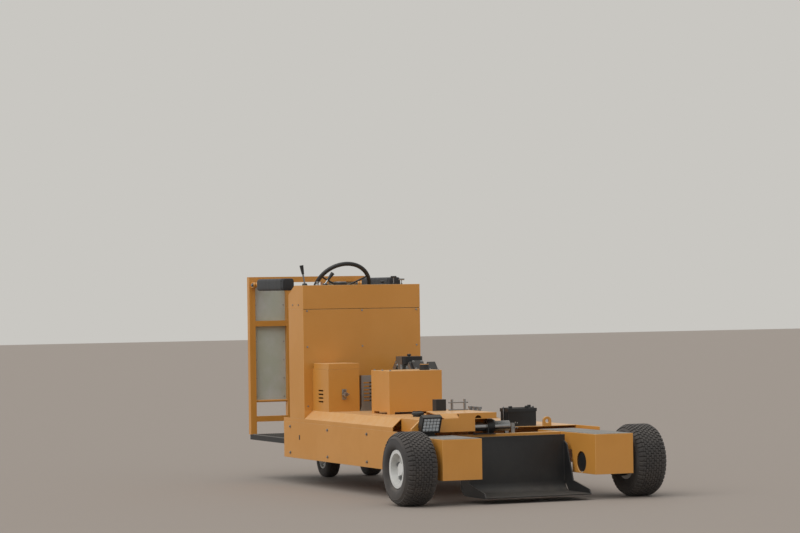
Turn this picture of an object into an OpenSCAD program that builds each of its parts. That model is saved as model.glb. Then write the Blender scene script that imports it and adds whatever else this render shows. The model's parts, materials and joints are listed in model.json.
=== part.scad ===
// Aircraft pushback tractor: a low, open machine on two driven front wheels and a steered
// twin rear wheel. A nose-wheel scoop sits between two front pods, and the operator stands
// on a platform behind a tall console. Millimetres, X forward, Y left, Z up, ground at 0,
// origin under the middle of the machine. Inside the modules X is measured from the front
// axle and the module at_axle() moves the piece to its place.

/* [Layout] */
// Distance from the front axle back to the rear face of the guard
rear_reach = 3225; // [3180:5:3300]
// Distance from the front axle back to the steered axle
wheelbase = 2950; // [2925:5:2960]
// Distance between the middles of the two front tyres
front_track = 1579; // [1560:1:1640]
// Distance from the front axle back to the front face of the console
console_setback = 2100; // [2080:5:2130]

/* [Front tyres and rims] */
// Outer diameter of a front tyre
tyre_d = 458; // [446:2:470]
// Width of a front tyre
tyre_w = 216; // [208:2:222]
// Radius of the tyre's shoulder
tyre_shoulder = 46; // [38:1:52]
// Diameter of the bead seat
bead_d = 203; // [198:1:208]
// Diameter over the rim flange
rim_flange_d = 240; // [234:1:246]
// Width of the rim over its flanges
rim_w = 178; // [170:1:182]
// Depth of the dish in the outer face of the rim
rim_dish = 46; // [36:1:54]
// Wall of the rim
rim_wall = 5; // [4:0.5:7]
// Diameter of the wheel hub
hub_d = 96; // [88:1:104]
// Diameter of the motor shaft that carries a front wheel
shaft_d = 40; // [34:1:44]

/* [Side panels and frame] */
// Distance of a side panel's outer face outside the pod's outer wall
panel_over = 16.5; // [10:0.5:22]
// Bottom edge of the side panels above the ground
panel_z0 = 184; // [176:1:196]
// Top edge of the side panels above the ground
panel_z1 = 433; // [428:1:440]
// Gap between the front tyre and the side panel
panel_tyre_gap = 61; // [50:1:80]
// Length of side panel behind the console
panel_tail = 120; // [100:5:140]
// Thickness of the body sheet
sheet = 5; // [4:0.5:6]
// Bottom of the frame rails above the ground
rail_z0 = 200; // [192:1:206]
// Height of a frame rail
rail_h = 100; // [90:1:108]
// Width of a frame rail
rail_w = 60; // [50:1:70]
// Length of a cross member along the machine
cross_l = 60; // [50:1:70]
// Distance from the lift pivot back to the first cross member
pivot_gap = 50; // [44:1:56]
// Distance between the first and the second cross member
anchor_gap = 350; // [330:5:370]
// Distance between the second and the third cross member
mid_gap = 500; // [470:5:540]
// Distance from the front axle back to the nose beam between the pods
nose_back = 290; // [270:5:310]
// Height of the nose beam
nose_h = 18; // [14:1:19]
// Width of the spine under the platform
spine_w = 160; // [140:5:180]
// Length of the spine behind the console
spine_l = 180; // [160:5:200]

/* [Deck] */
// Height of the raised deck above the ground
deck_z = 515; // [505:1:525]
// Height where the sloped shoulder starts
shoulder_z = 459; // [454:1:464]
// Width of the sloped shoulder, seen from above
shoulder_w = 62; // [56:1:68]
// Distance from the front axle back to the deck's front wall
deck_setback = 240; // [232:1:256]
// Side position of the deck's inner edge at the front
deck_front_y = -70; // [-80:1:-60]
// Side position of the deck's inner edge at the rear, and of the console's left side
deck_rear_y = 200; // [190:1:215]
// Distance from the front axle back to the deck's step in width
deck_step = 1000; // [985:5:1030]
// Distance from the front axle back to the rear end of the notch in the shoulder
notch_back = 550; // [520:5:580]
// Width of the sloped lip that is left ahead of the notch
notch_lip = 20; // [14:1:26]
// Side position where the winch cover's front plate begins
corner_y = -346; // [-360:1:-330]
// Distance from the front axle back to the rear of the winch cover
cover_back = 680; // [660:5:700]
// Height of the winch cover above the deck
cover_up = 34; // [28:1:40]
// Size of the bevel along the winch cover's front edge
cover_bevel = 30; // [24:1:33]
// Right edge of the arched winch opening in the front wall
arch_y = -235; // [-242:1:-228]
// Diameter of the arch's round top
arch_d = 46; // [40:1:52]
// Height of the top bar beside the arch
bar_drop = 38; // [32:1:44]
// Diameter of the filler cap on the deck
cap_d = 80; // [74:1:86]
// Distance from the front axle back to the filler cap
cap_setback = 700; // [660:5:740]
// Side position of the filler cap
cap_y = -430; // [-450:5:-410]
// Hole in the tie-down eye
eye_d = 26; // [22:1:30]
// Height of the tie-down eye's hole above the low deck
eye_up = 30; // [26:1:34]
// Thickness of the tie-down eye
eye_t = 14; // [10:1:16]
// Side position of the tie-down eye
eye_y = 460; // [440:5:480]
// Distance from the front axle back to the rear of the relay box
relay_setback = 760; // [740:5:790]
// Side position of the relay box's right face
relay_y = -300; // [-320:5:-290]

/* [Front pods] */
// Side position of a pod's inner wall
pod_in = 390; // [385:1:396]
// Gap between a pod and its tyre
pod_tyre_gap = 26; // [22:1:30]
// Bottom of a pod above the ground
pod_z0 = 158; // [150:1:166]
// Top of a pod above the ground
pod_z1 = 410; // [404:1:414]
// Distance of a pod's front face ahead of the axle
pod_front = 200; // [190:1:210]
// Distance from the axle back to the end of a pod's deep part
pod_deep = 130; // [122:1:140]
// Distance from the axle back to a pod's rear end
pod_rear = 630; // [600:5:640]
// Wall of a pod
pod_wall = 6; // [5:0.5:8]
// Diameter of a drive motor
motor_d = 196; // [184:1:206]
// Thickness of the non-slip pads
pad_t = 3; // [2:0.5:5]

/* [Nose-wheel scoop] */
// Width of the scoop
scoop_w = 730; // [700:5:740]
// Distance from the axle back to the scoop's back sheet
scoop_back = 180; // [174:1:186]
// Distance of the scoop's lip ahead of the axle
scoop_lip = 190; // [170:5:200]
// Height of the scoop's floor above the ground, underside
scoop_floor_z = 34; // [28:1:42]
// Top of the scoop's back sheet above the ground
scoop_top = 398; // [385:1:402]
// Thickness of the scoop's plate
scoop_t = 8; // [6:1:10]
// Inner radius of the scoop's lower bend
scoop_bend = 62; // [50:2:74]
// Distance from the axle back to the lift pivot
lift_back = 850; // [840:5:860]
// Height of the lift pivot
lift_z = 300; // [296:1:306]
// Side position of a lift arm's middle
lift_arm_y = 200; // [180:5:220]
// Width of a lift arm
lift_arm_w = 40; // [34:1:44]
// Depth of a lift arm
lift_arm_h = 56; // [48:1:58]
// Drop from the lift pivot to the top of the lift arms
arm_under = 14; // [12:1:18]
// Diameter of the lift pivot pin
lift_pin_d = 30; // [26:1:34]
// Bore of the lift cylinder
lift_bore = 50; // [44:1:54]
// Diameter of the lift cylinder's rod
lift_rod_d = 28; // [24:1:32]

/* [Steered rear wheels] */
// Diameter of a rear wheel
rear_d = 254; // [246:1:258]
// Width of a rear wheel
rear_w = 100; // [90:1:106]
// Side position of a rear wheel's middle
rear_y = 165; // [160:1:172]
// Diameter of the rear axle
rear_axle_d = 30; // [26:1:34]
// Diameter of the slewing ring
slew_d = 236; // [220:1:250]

/* [Work lamp] */
// Width of the work lamp
lamp_w = 130; // [120:1:140]
// Height of the work lamp
lamp_h = 108; // [100:1:116]
// Depth of the work lamp's body
lamp_d = 40; // [34:1:46]
// Forward lean of the work lamp
lamp_tilt = 24; // [18:1:28]
// Height of the work lamp's lower edge above the pod
lamp_lift = 24; // [20:1:30]
// Distance from the pod's outer wall in to the work lamp
lamp_inset = 25; // [20:1:40]
// Distance of the work lamp's lower edge ahead of the deck's front wall
lamp_ahead = 48; // [44:1:60]

/* [Operator platform and guard] */
// Top of the platform floor above the ground
floor_z = 310; // [306:1:318]
// Thickness of the platform
floor_t = 36; // [32:1:38]
// Left edge of the platform
platform_left = 230; // [225:1:250]
// Size of a guard post
post = 45; // [38:1:50]
// Top of the guard above the ground
guard_z = 1440; // [1430:1:1450]
// Size of a guard cross tube
guard_tube = 40; // [34:1:44]
// Height of the middle cross tube
guard_mid_z = 1085; // [1060:5:1110]
// Height of the thin lower tube
guard_thin_z = 548; // [535:1:560]
// Diameter of the thin tube
guard_thin_d = 18; // [14:1:22]
// Width of a bay between an outer post and its inner post
bay_w = 240; // [225:5:250]
// Drop from the guard's top to the middle of the padded arms
arm_drop = 58; // [56:1:62]
// Distance from the posts forward to the arms' hinge pins
arm_hinge_l = 42; // [38:1:46]
// Diameter of the foam on a padded arm
foam_d = 89; // [82:1:92]
// Length of the foam on a padded arm
foam_l = 530; // [500:5:560]
// Diameter of the tube inside a padded arm
arm_tube_d = 30; // [26:1:32]

/* [Console] */
// Depth of the console, front to back
console_depth = 280; // [265:5:295]
// Top of the console above the ground
console_z = 1373; // [1360:1:1380]
// Height of the seam under the console's top cover
seam_z = 1210; // [1190:5:1230]
// Gap at the seam
seam_gap = 3; // [2:0.5:4]
// Length of the slope at the console's rear top edge
brow_l = 120; // [110:2:130]
// Drop of the slope at the console's rear top edge
brow_h = 64; // [58:1:70]
// Diameter over the steering wheel's rim
wheel_d = 435; // [420:5:445]
// Thickness of the steering wheel's rim
wheel_rim_d = 29; // [26:1:32]
// Tilt of the steering wheel from flat
wheel_tilt = 57; // [52:1:60]
// Height of the steering wheel's middle
wheel_z = 1350; // [1345:1:1356]
// Side position of the steering wheel and of its column
wheel_y = -250; // [-270:5:-235]
// Distance from the console's rear face back to the steering wheel's middle
wheel_back = 56; // [50:1:66]

/* [Boxes on the deck] */
// Length of the louvred box
louvre_l = 298; // [280:2:304]
// Distance from the panel's outer face in to the louvred box
louvre_inset = 62; // [62:1:70]
// Width of the louvred box
louvre_w = 225; // [215:1:232]
// Height of the louvred box
louvre_h = 285; // [270:5:295]
// Height of the louvred box's lid
lid_h = 40; // [34:1:44]
// Width of the hydraulic tank
tank_w = 380; // [360:5:385]
// Length of the hydraulic tank
tank_l = 305; // [290:5:315]
// Height of the hydraulic tank
tank_h = 270; // [250:5:290]
// Distance from the axle back to the front of the hydraulic tank
tank_back = 1125; // [1110:5:1140]
// Height of the tank's feet
foot_h = 15; // [12:1:20]
// Length of the battery box
battery_l = 130; // [120:2:140]
// Width of the battery box
battery_w = 207; // [196:1:214]
// Height of the battery box
battery_h = 117; // [108:1:124]
// Side position of the battery box's right face
battery_y = 190; // [184:1:200]
// Length of the valve bank
valve_l = 200; // [180:5:215]
// Width of the valve bank
valve_w = 120; // [110:2:130]
// Height of the valve bank
valve_h = 70; // [62:1:78]

/* [Engine] */
// Distance from the front axle back to the engine's crankshaft
engine_back = 1790; // [1770:5:1810]
// Side position of the crankcase's middle
engine_y = -20; // [-40:5:0]
// Height of the crankshaft above the deck
crank_up = 140; // [130:2:150]
// Diameter of the crankcase
crank_d = 210; // [196:2:220]
// Width of the crankcase
crank_w = 180; // [170:2:190]
// Angle of a cylinder from upright
vee_half = 45; // [42:1:48]
// Diameter of a cylinder barrel
barrel_d = 84; // [78:1:90]
// Size of the square cooling fins
fin_w = 118; // [110:1:124]
// Spacing of the cooling fins
fin_pitch = 12; // [11:0.5:13]
// Diameter of the blower housing
blower_d = 280; // [264:2:290]
// Depth of the blower housing
blower_t = 58; // [50:1:66]
// Diameter of the blower's air screen
screen_d = 180; // [168:2:190]
// Diameter of the silencer
silencer_d = 96; // [88:1:104]
// Length of the silencer
silencer_l = 250; // [230:5:260]

/* [Hidden] */
$fn = 48;

// Fits: a shaft in its bore, a moving face beside a fixed one, the play of the lift rod's eye,
// and how far a cut runs past a face
fit = 0.3;
side_gap = 5;
eye_play = 1;
over = 2;

// Paint and rubber colours
yellow = "#DB8E24";
black = "#26272A";
steel = "#9EA1A4";
rubber = "#2E2F31";
pale = "#E6E4DE";

// Places worked out from the sizes, X from the front axle
front_x = (rear_reach - tyre_d / 2) / 2;
tyre_y = front_track / 2;
axle_z = tyre_d / 2;
tyre_in = tyre_y - tyre_w / 2;
rim_half = rim_w / 2;
disc_z = rim_half - rim_dish;
pod_out = tyre_in - pod_tyre_gap;
panel_x1 = -(tyre_d / 2 + panel_tyre_gap);
console_x1 = -console_setback;
console_x0 = console_x1 - console_depth;
panel_x0 = console_x0 - panel_tail;
body_half_w = pod_out + panel_over;
inner_w = body_half_w - sheet;
rail_z1 = rail_z0 + rail_h;
cross_z1 = panel_z1 - sheet;
deck_x1 = -deck_setback;
lift_x = -lift_back;
pivot_cross_x1 = lift_x - pivot_gap;
anchor_cross_x1 = pivot_cross_x1 - anchor_gap;
mid_cross_x1 = anchor_cross_x1 - mid_gap;
platform_x0 = -rear_reach + 25;
platform_y0 = -inner_w;
guard_x0 = -rear_reach;
floor_under = floor_z - floor_t;
steer_x = -wheelbase;
rear_axle_z = rear_d / 2;
wheel_x = console_x0 - wheel_back;
arm_y = [platform_y0 + post, platform_left - post];
arm_x = guard_x0 + post + arm_hinge_l;
arm_z = guard_z - arm_drop;
foam_x0 = arm_x + 105;

// Puts a piece that is drawn from the front axle at its place under the origin
module at_axle() {
    translate([front_x, 0, 0]) children();
}

// A block between two corners, given as ranges along X, Y and Z
module slab(x, y, z) {
    translate([x[0], y[0], z[0]]) cube([x[1] - x[0], y[1] - y[0], z[1] - z[0]]);
}

// A flat shape drawn in X and Z, made thick from y0 to y1
module side_plate(y0, y1) {
    translate([0, y1, 0]) rotate([90, 0, 0]) linear_extrude(y1 - y0) children();
}

// A flat shape drawn in Y and Z, made thick from x0 to x1
module end_plate(x0, x1) {
    translate([x0, 0, 0]) rotate([90, 0, 90]) linear_extrude(x1 - x0) children();
}

// A round bar along Y from y0 to y1 with its middle at x, z
module bar_y(x, z, d, y0, y1) {
    translate([x, y1, z]) rotate([90, 0, 0]) cylinder(d = d, h = y1 - y0);
}

// A round bar along X from x0 to x1 with its middle at y, z
module bar_x(y, z, d, x0, x1) {
    translate([x0, y, z]) rotate([0, 90, 0]) cylinder(d = d, h = x1 - x0);
}

// A round upright from z0 to z1 with its middle at x, y
module bar_z(x, y, d, z0, z1) {
    translate([x, y, z0]) cylinder(d = d, h = z1 - z0);
}

// A round bar between two points
module bar(p, q, d) {
    v = q - p;
    l = norm(v);
    translate(p) rotate([0, acos(v[2] / l), atan2(v[1], v[0])]) cylinder(d = d, h = l);
}

// A rectangle with rounded corners, middle at the origin
module rounded(w, h, r) {
    square([w - 2 * r, h], center = true);
    square([w, h - 2 * r], center = true);
    for (x = [-1, 1], y = [-1, 1]) translate([x * (w / 2 - r), y * (h / 2 - r)]) circle(r = r);
}

// Frame rails, one along the inner face of each side panel
module frame_rails() {
    color(yellow) at_axle() for (y0 = [-inner_w, inner_w - rail_w])
        slab([console_x0, panel_x1], [y0, y0 + rail_w], [rail_z0, rail_z1]);
}

// Cross members on the rails, the nose beam between the pods, the console's plinth, which is a
// box open below, and the spine under the platform
module cross_members() {
    color(yellow) at_axle() {
        for (x = [pivot_cross_x1, anchor_cross_x1, mid_cross_x1])
            slab([x - cross_l, x], [-inner_w, inner_w], [rail_z1, cross_z1]);
        slab([-nose_back - cross_l, -nose_back], [-pod_in, pod_in], [pod_z1 - nose_h, pod_z1]);
        difference() {
            slab([console_x0, console_x1], [-inner_w, deck_rear_y], [rail_z1, shoulder_z]);
            slab([console_x0 + cross_l, console_x1 - sheet], [-inner_w + sheet, deck_rear_y - sheet],
                [rail_z1 - over, shoulder_z - sheet]);
        }
        slab([console_x0, console_x0 + cross_l], [deck_rear_y, inner_w], [rail_z1, cross_z1]);
        slab([console_x0, console_x0 + cross_l], [-inner_w + rail_w, inner_w - rail_w],
            [rail_z0, rail_z1]);
        slab([console_x0 - spine_l, console_x0], [-spine_w / 2, spine_w / 2],
            [rail_z0, floor_under]);
    }
}

// Side panels: one long plate each on a rail, the right one with a tail beside the platform
module side_panel(y0, x0) {
    color(yellow) at_axle() slab([x0, panel_x1], [y0, y0 + sheet], [panel_z0, panel_z1]);
}
module side_panel_right() {
    side_panel(-body_half_w, panel_x0);
}
module side_panel_left() {
    side_panel(inner_w, console_x0);
}

// Deck outlines, smaller by t on every side
function deck_plan(t) = [
    [console_x1, -body_half_w + t],
    [deck_x1 - t, -body_half_w + t],
    [deck_x1 - t, deck_front_y - t],
    [-deck_step - t, deck_front_y - t],
    [-deck_step - t, deck_rear_y - t],
    [console_x1, deck_rear_y - t]];
function deck_section(t) = [
    [-body_half_w + t, panel_z1 - (t > 0 ? over : 0)],
    [-body_half_w + t, shoulder_z - t * tan(22.5)],
    [-body_half_w + shoulder_w + t * tan(22.5), deck_z - t],
    [deck_rear_y - t, deck_z - t],
    [deck_rear_y - t, panel_z1 - (t > 0 ? over : 0)]];
module deck_form(t) {
    intersection() {
        end_plate(panel_x0, 0) polygon(deck_section(t));
        linear_extrude(deck_z + over) polygon(deck_plan(t));
    }
}

// Raised deck on the right: one folded shell, open below. A notch in its shoulder leaves a sloped
// lip at the front, and the winch cover closes the rest of its front
module deck_right() {
    notch = [-notch_back, deck_x1 - notch_lip];
    notch_y = -body_half_w + shoulder_w;
    color(yellow) at_axle() {
        difference() {
            deck_form(0);
            deck_form(sheet);
            slab(notch, [-body_half_w - over, notch_y], [panel_z1 - over, deck_z + over]);
            slab([deck_x1 - sheet, deck_x1 + over], [corner_y, deck_front_y + over],
                [panel_z1 - over, deck_z + over]);
            slab([-nose_back - 2 * cross_l, deck_x1], [deck_front_y - sheet - over, deck_front_y + over],
                [panel_z1 - over, deck_z - sheet]);
        }
        slab(notch, [notch_y, notch_y + sheet], [panel_z1, deck_z]);
        slab([panel_x0, console_x1], [-body_half_w, -inner_w], [panel_z1, shoulder_z]);
    }
}

// Winch cover: a low folded lid on the front of the deck, with a bevelled front edge whose end
// is mitred, and a front plate with the arch that the winch looks through
cover_z = deck_z + cover_up;
cover_side_y = -500;
cover_rear_y = -380;
mitre = 53;
module winch_cover() {
    end_y = deck_front_y - 15;
    edge_x = deck_x1 - cover_bevel;
    edge_z = cover_z - cover_bevel;
    color(yellow) at_axle() {
        translate([0, 0, cover_z - sheet]) linear_extrude(sheet) polygon([
            [edge_x, cover_side_y], [-cover_back, cover_rear_y], [-cover_back, end_y],
            [deck_x1, end_y], [deck_x1, corner_y], [edge_x, corner_y]]);
        difference() {
            side_plate(cover_side_y, corner_y) polygon([
                [edge_x, cover_z], [deck_x1, edge_z], [deck_x1, deck_z],
                [deck_x1 - sheet, deck_z], [edge_x - sheet, cover_z - sheet]]);
            end_plate(edge_x - sheet - over, deck_x1 + over) polygon([
                [cover_side_y - over, cover_z], [cover_side_y, cover_z],
                [cover_side_y + mitre, edge_z], [cover_side_y + mitre, deck_z - over],
                [cover_side_y - over, deck_z - over]]);
        }
        slab([-cover_back, -cover_back + sheet], [cover_rear_y, end_y], [deck_z, cover_z]);
        slab([-cover_back, deck_x1], [end_y - sheet, end_y], [deck_z, cover_z]);
        end_plate(deck_x1 - sheet, deck_x1) difference() {
            translate([corner_y, panel_z1]) square([end_y - corner_y, cover_z - panel_z1]);
            translate([arch_y, panel_z1 - over])
                square([arch_d, cover_z - bar_drop - panel_z1 + over]);
            translate([arch_y + arch_d / 2, cover_z - bar_drop]) circle(d = arch_d * 0.98);
            translate([arch_y + arch_d, panel_z1 - over])
                square([end_y - arch_y, cover_z - bar_drop - panel_z1 + over]);
        }
    }
}

// Low deck on the left, with the tie-down eye that stands on it
module deck_left() {
    color(yellow) at_axle() {
        translate([0, 0, cross_z1]) linear_extrude(sheet) polygon([
            [-pod_rear, deck_front_y - sheet], [-pod_rear, inner_w], [console_x0, inner_w],
            [console_x0, deck_rear_y], [console_x1, deck_rear_y], [console_x1, deck_rear_y - sheet],
            [-deck_step - sheet, deck_rear_y - sheet], [-deck_step - sheet, deck_front_y - sheet]]);
        end_plate(-pod_rear - eye_t, -pod_rear) difference() {
            translate([eye_y, panel_z1 + eye_up]) circle(r = eye_up);
            translate([eye_y, panel_z1 + eye_up]) circle(d = eye_d);
            translate([eye_y - 2 * eye_up, panel_z1 - eye_up]) square([4 * eye_up, eye_up]);
        }
        end_plate(-pod_rear - eye_t, -pod_rear) difference() {
            translate([eye_y - eye_up, panel_z1]) square([2 * eye_up, eye_up]);
            translate([eye_y, panel_z1 + eye_up]) circle(d = eye_d);
        }
    }
}

// Filler cap and relay box on the raised deck
cap_neck_h = 12;
relay_l = 60;
relay_w = 70;
relay_h = 106;
module deck_fittings() {
    color(black) at_axle() {
        translate([-cap_setback, cap_y, deck_z]) {
            cylinder(d = cap_d * 0.8, h = cap_neck_h);
            translate([0, 0, cap_neck_h]) cylinder(d = cap_d, h = cap_neck_h);
            translate([0, 0, 2 * cap_neck_h]) cylinder(d1 = cap_d, d2 = cap_d * 0.8, h = cap_neck_h / 2);
            for (turn = [0, 90]) rotate([0, 0, turn + 45])
                slab([-cap_d * 0.4, cap_d * 0.4], [-cap_d * 0.08, cap_d * 0.08],
                    [2.4 * cap_neck_h, 3 * cap_neck_h]);
        }
        slab([-relay_setback, -relay_setback + relay_l], [relay_y, relay_y + relay_w],
            [deck_z, deck_z + relay_h]);
    }
}

// Front pods: folded boxes, deep round the drive motor and shallow behind it, with a round port
// in the inner wall at the end of the motor
port_d = motor_d * 0.68;
function pod_side(t) = [
    [-pod_rear + t, pod_z1 - t], [pod_front - t, pod_z1 - t],
    [pod_front - t, pod_z0 - (t > 0 ? over : 0)], [-pod_deep + t, pod_z0 - (t > 0 ? over : 0)],
    [-pod_deep + t, rail_z1 + t], [-pod_rear + t, rail_z1 + t]];
module pod(side) {
    y0 = side > 0 ? pod_in : -pod_out;
    y1 = side > 0 ? pod_out : -pod_in;
    color(yellow) at_axle() difference() {
        side_plate(y0, y1) polygon(pod_side(0));
        side_plate(y0 + pod_wall, y1 - pod_wall) polygon(pod_side(pod_wall));
        bar_y(0, axle_z, motor_d + 2 * fit, side > 0 ? pod_out - pod_wall - over : -pod_out - over,
            side > 0 ? pod_out + over : -pod_out + pod_wall + over);
        bar_y(0, axle_z, port_d, side > 0 ? pod_in - over : -pod_in - pod_wall - over,
            side > 0 ? pod_in + pod_wall + over : -pod_in + over);
    }
}
module pod_right() {
    pod(-1);
}
module pod_left() {
    pod(1);
}

// Non-slip pads on the pods, and the mat on the operator's floor
pad_edge = 10;
module step_pads() {
    color("#8B8D8E") at_axle() {
        slab([deck_x1 + pad_edge, pod_front - pad_edge], [-pod_out + pad_edge, -pod_in - pad_edge],
            [pod_z1, pod_z1 + pad_t]);
        slab([-pod_rear + pad_edge, pod_front - pad_edge], [pod_in + pad_edge, pod_out - pad_edge],
            [pod_z1, pod_z1 + pad_t]);
        slab([guard_x0 + post + pad_edge, console_x0 - pad_edge],
            [platform_y0 + pad_edge, platform_left - pad_edge], [floor_z, floor_z + pad_t]);
    }
}

// Hydraulic drive motors: a body in the pod, a flange and the shaft that carries the wheel
motor_l = 120;
module drive_motors() {
    case_in = pod_out - pod_wall - motor_l;
    flange_out = tyre_in + 8;
    color(black) at_axle() for (turn = [0, 180]) rotate([0, 0, turn]) {
        bar_y(0, axle_z, motor_d, pod_out - pod_wall, flange_out);
        bar_y(0, axle_z, motor_d * 0.82, case_in, pod_out - pod_wall);
        bar_y(0, axle_z, motor_d * 0.6, pod_in + pod_wall, case_in);
        bar_y(0, axle_z, shaft_d, flange_out, tyre_y + disc_z - side_gap);
    }
}

// Work lamp on the right pod: a finned body that leans forward, a bezel and a bracket
lamp_fin_t = 4;
bezel_w = 9;
module work_lamp() {
    y0 = -pod_out + lamp_inset;
    y1 = y0 + lamp_w;
    foot_x = deck_x1 + pad_edge + over;
    foot_z = pod_z1 + pad_t;
    bracket_t = 5;
    color(black) at_axle() {
        translate([deck_x1 + lamp_ahead, 0, pod_z1 + lamp_lift]) rotate([0, lamp_tilt, 0]) {
            difference() {
                slab([-lamp_d, 0], [y0, y1], [0, lamp_h]);
                slab([-bezel_w, over], [y0 + bezel_w, y1 - bezel_w], [bezel_w, lamp_h - bezel_w]);
            }
            for (i = [0:5]) slab([-lamp_d - 14, -lamp_d],
                [y0 + i * (lamp_w - lamp_fin_t) / 5, y0 + i * (lamp_w - lamp_fin_t) / 5 + lamp_fin_t],
                [lamp_h * 0.15, lamp_h * 0.85]);
        }
        slab([foot_x, deck_x1 + lamp_ahead], [y0 + 20, y1 - 20], [foot_z, foot_z + bracket_t]);
        slab([foot_x, foot_x + bracket_t], [y0 + 20, y1 - 20], [foot_z, pod_z1 + lamp_lift + lamp_h / 3]);
    }
}

// Winch behind the arch: a drum between two cheeks, a gear case and its motor, on a bed that
// stands on the nose beam
drum_d = 58;
drum_flange_d = 84;
gear_d = 92;
gear_w = 46;
winch_motor_d = 66;
winch_motor_l = 110;
module winch() {
    x = -nose_back - cross_l / 2;
    z = pod_z1 + drum_flange_d / 2 + 6;
    y0 = arch_y + side_gap;
    y1 = deck_front_y - sheet - gear_w;
    cheek = 8;
    color(steel) at_axle() {
        for (y = [y0, y1 - cheek]) {
            slab([x - drum_flange_d / 2, x + drum_flange_d / 2], [y, y + cheek], [pod_z1, z]);
            bar_y(x, z, drum_flange_d, y, y + cheek);
        }
        bar_y(x, z, drum_d, y0, y1);
        bar_y(x, z, gear_d, y1, y1 + gear_w - side_gap);
        bar_y(x, z, winch_motor_d, y1 + gear_w - side_gap, y1 + gear_w + winch_motor_l);
        slab([x - drum_flange_d / 2, x + drum_flange_d / 2], [y0, y1 + gear_w], [pod_z1, pod_z1 + 6]);
        for (y = [20, 64]) slab([-nose_back - cross_l, -nose_back - cross_l + 10], [y, y + 24],
            [pod_z1, panel_z1 + 40]);
    }
}

// Tyre: a round-shouldered ring outside the rim flanges, and its two beads between them
module tyre() {
    depth = (tyre_d - rim_flange_d) / 2;
    bead_r = bead_d / 2;
    bead_w = rim_w - 2 * rim_wall;
    rotate_extrude($fn = 64) {
        translate([tyre_d / 2 - depth / 2, 0]) rounded(depth, tyre_w, tyre_shoulder);
        translate([bead_r, -bead_w / 2]) square([rim_flange_d / 2 - bead_r, bead_w]);
        translate([rim_flange_d / 2 - over, -tyre_w / 2 + tyre_shoulder])
            square([2 * over, tyre_w - 2 * tyre_shoulder]);
    }
}
module tyre_at(side) {
    color(rubber) at_axle() translate([0, side * tyre_y, axle_z]) rotate([-side * 90, 0, 0]) tyre();
}
module tyre_right() {
    tyre_at(-1);
}
module tyre_left() {
    tyre_at(1);
}

// Rim: a flanged well with a dished disc and a hub, drawn with its outer face up
module rim() {
    difference() {
        union() {
            cylinder(d = bead_d, h = rim_w, center = true);
            for (s = [-1, 1]) translate([0, 0, s * (rim_half - rim_wall / 2)])
                cylinder(d = rim_flange_d, h = rim_wall, center = true);
        }
        translate([0, 0, disc_z]) cylinder(d = bead_d - 2 * rim_wall, h = tyre_w);
        translate([0, 0, disc_z - rim_wall - tyre_w]) cylinder(d = bead_d - 2 * rim_wall, h = tyre_w);
        cylinder(d = shaft_d + 2 * fit, h = tyre_w, center = true);
    }
    difference() {
        translate([0, 0, disc_z - rim_wall - 26]) cylinder(d = hub_d, h = 26);
        cylinder(d = shaft_d + 2 * fit, h = tyre_w, center = true);
    }
    translate([0, 0, disc_z]) cylinder(d = hub_d * 0.8, h = 22);
}
module rim_at(side) {
    color(pale) at_axle() translate([0, side * tyre_y, axle_z]) rotate([-side * 90, 0, 0]) rim();
}
module rim_right() {
    rim_at(-1);
}
module rim_left() {
    rim_at(1);
}

// Lift brackets: ears and pins on the first cross member, and the cylinder's anchor
ear_t = 12;
anchor_z = 215;
anchor_ahead = 40;
lug_drop = 120;
lug_ahead = 150;
anchor_x = anchor_cross_x1 + anchor_ahead;
lug_x = lift_x + lug_ahead;
lug_z = lift_z - lug_drop;
eye_w = 30;
module ear_pair(x, z, r, back, top, gap_w) {
    for (s = [-1, 1]) {
        y0 = s > 0 ? gap_w / 2 : -gap_w / 2 - ear_t;
        side_plate(y0, y0 + ear_t) {
            translate([x, z]) circle(r = r);
            translate([back, z - r]) square([x - back, 2 * r]);
            translate([back, z]) square([x - back, top - z]);
        }
    }
}
module lift_brackets() {
    pin_r = lift_pin_d / 2;
    color(yellow) at_axle() {
        for (s = [-1, 1]) translate([0, s * lift_arm_y, 0]) {
            ear_pair(lift_x, lift_z, lift_pin_d, pivot_cross_x1, lift_z + 60,
                lift_arm_w + 2 * side_gap);
            bar_y(lift_x, lift_z, lift_pin_d, -lift_arm_w / 2 - side_gap - ear_t,
                lift_arm_w / 2 + side_gap + ear_t);
        }
        ear_pair(anchor_x, anchor_z, pin_r + 14, anchor_cross_x1, rail_z1 + 40,
            eye_w + 2 * side_gap);
        bar_y(anchor_x, anchor_z, lift_rod_d, -eye_w / 2 - side_gap - ear_t,
            eye_w / 2 + side_gap + ear_t);
    }
}

// Scoop: one bent plate with low cheeks and a thick lip
module scoop_bucket() {
    r_in = scoop_bend;
    r_out = scoop_bend + scoop_t;
    floor_top = scoop_floor_z + scoop_t;
    bend_x = -scoop_back + r_in;
    bend_z = floor_top + r_in;
    color(black) at_axle() {
        side_plate(-scoop_w / 2, scoop_w / 2) {
            translate([-scoop_back - scoop_t, bend_z]) square([scoop_t, scoop_top - bend_z]);
            translate([bend_x, scoop_floor_z]) square([scoop_lip - bend_x, scoop_t]);
            intersection() {
                difference() {
                    translate([bend_x, bend_z]) circle(r = r_out);
                    translate([bend_x, bend_z]) circle(r = r_in);
                }
                translate([bend_x - r_out, bend_z - r_out]) square([r_out, r_out]);
            }
        }
        for (s = [-1, 1]) {
            y0 = s > 0 ? scoop_w / 2 - scoop_t : -scoop_w / 2;
            side_plate(y0, y0 + scoop_t) polygon([
                [-scoop_back, bend_z], [bend_x, floor_top], [scoop_lip, floor_top],
                [scoop_lip - 20, floor_top + 26], [bend_x + 60, floor_top + 70],
                [-scoop_back + 40, scoop_top - 60], [-scoop_back, scoop_top - 40]]);
        }
    }
}

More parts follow.
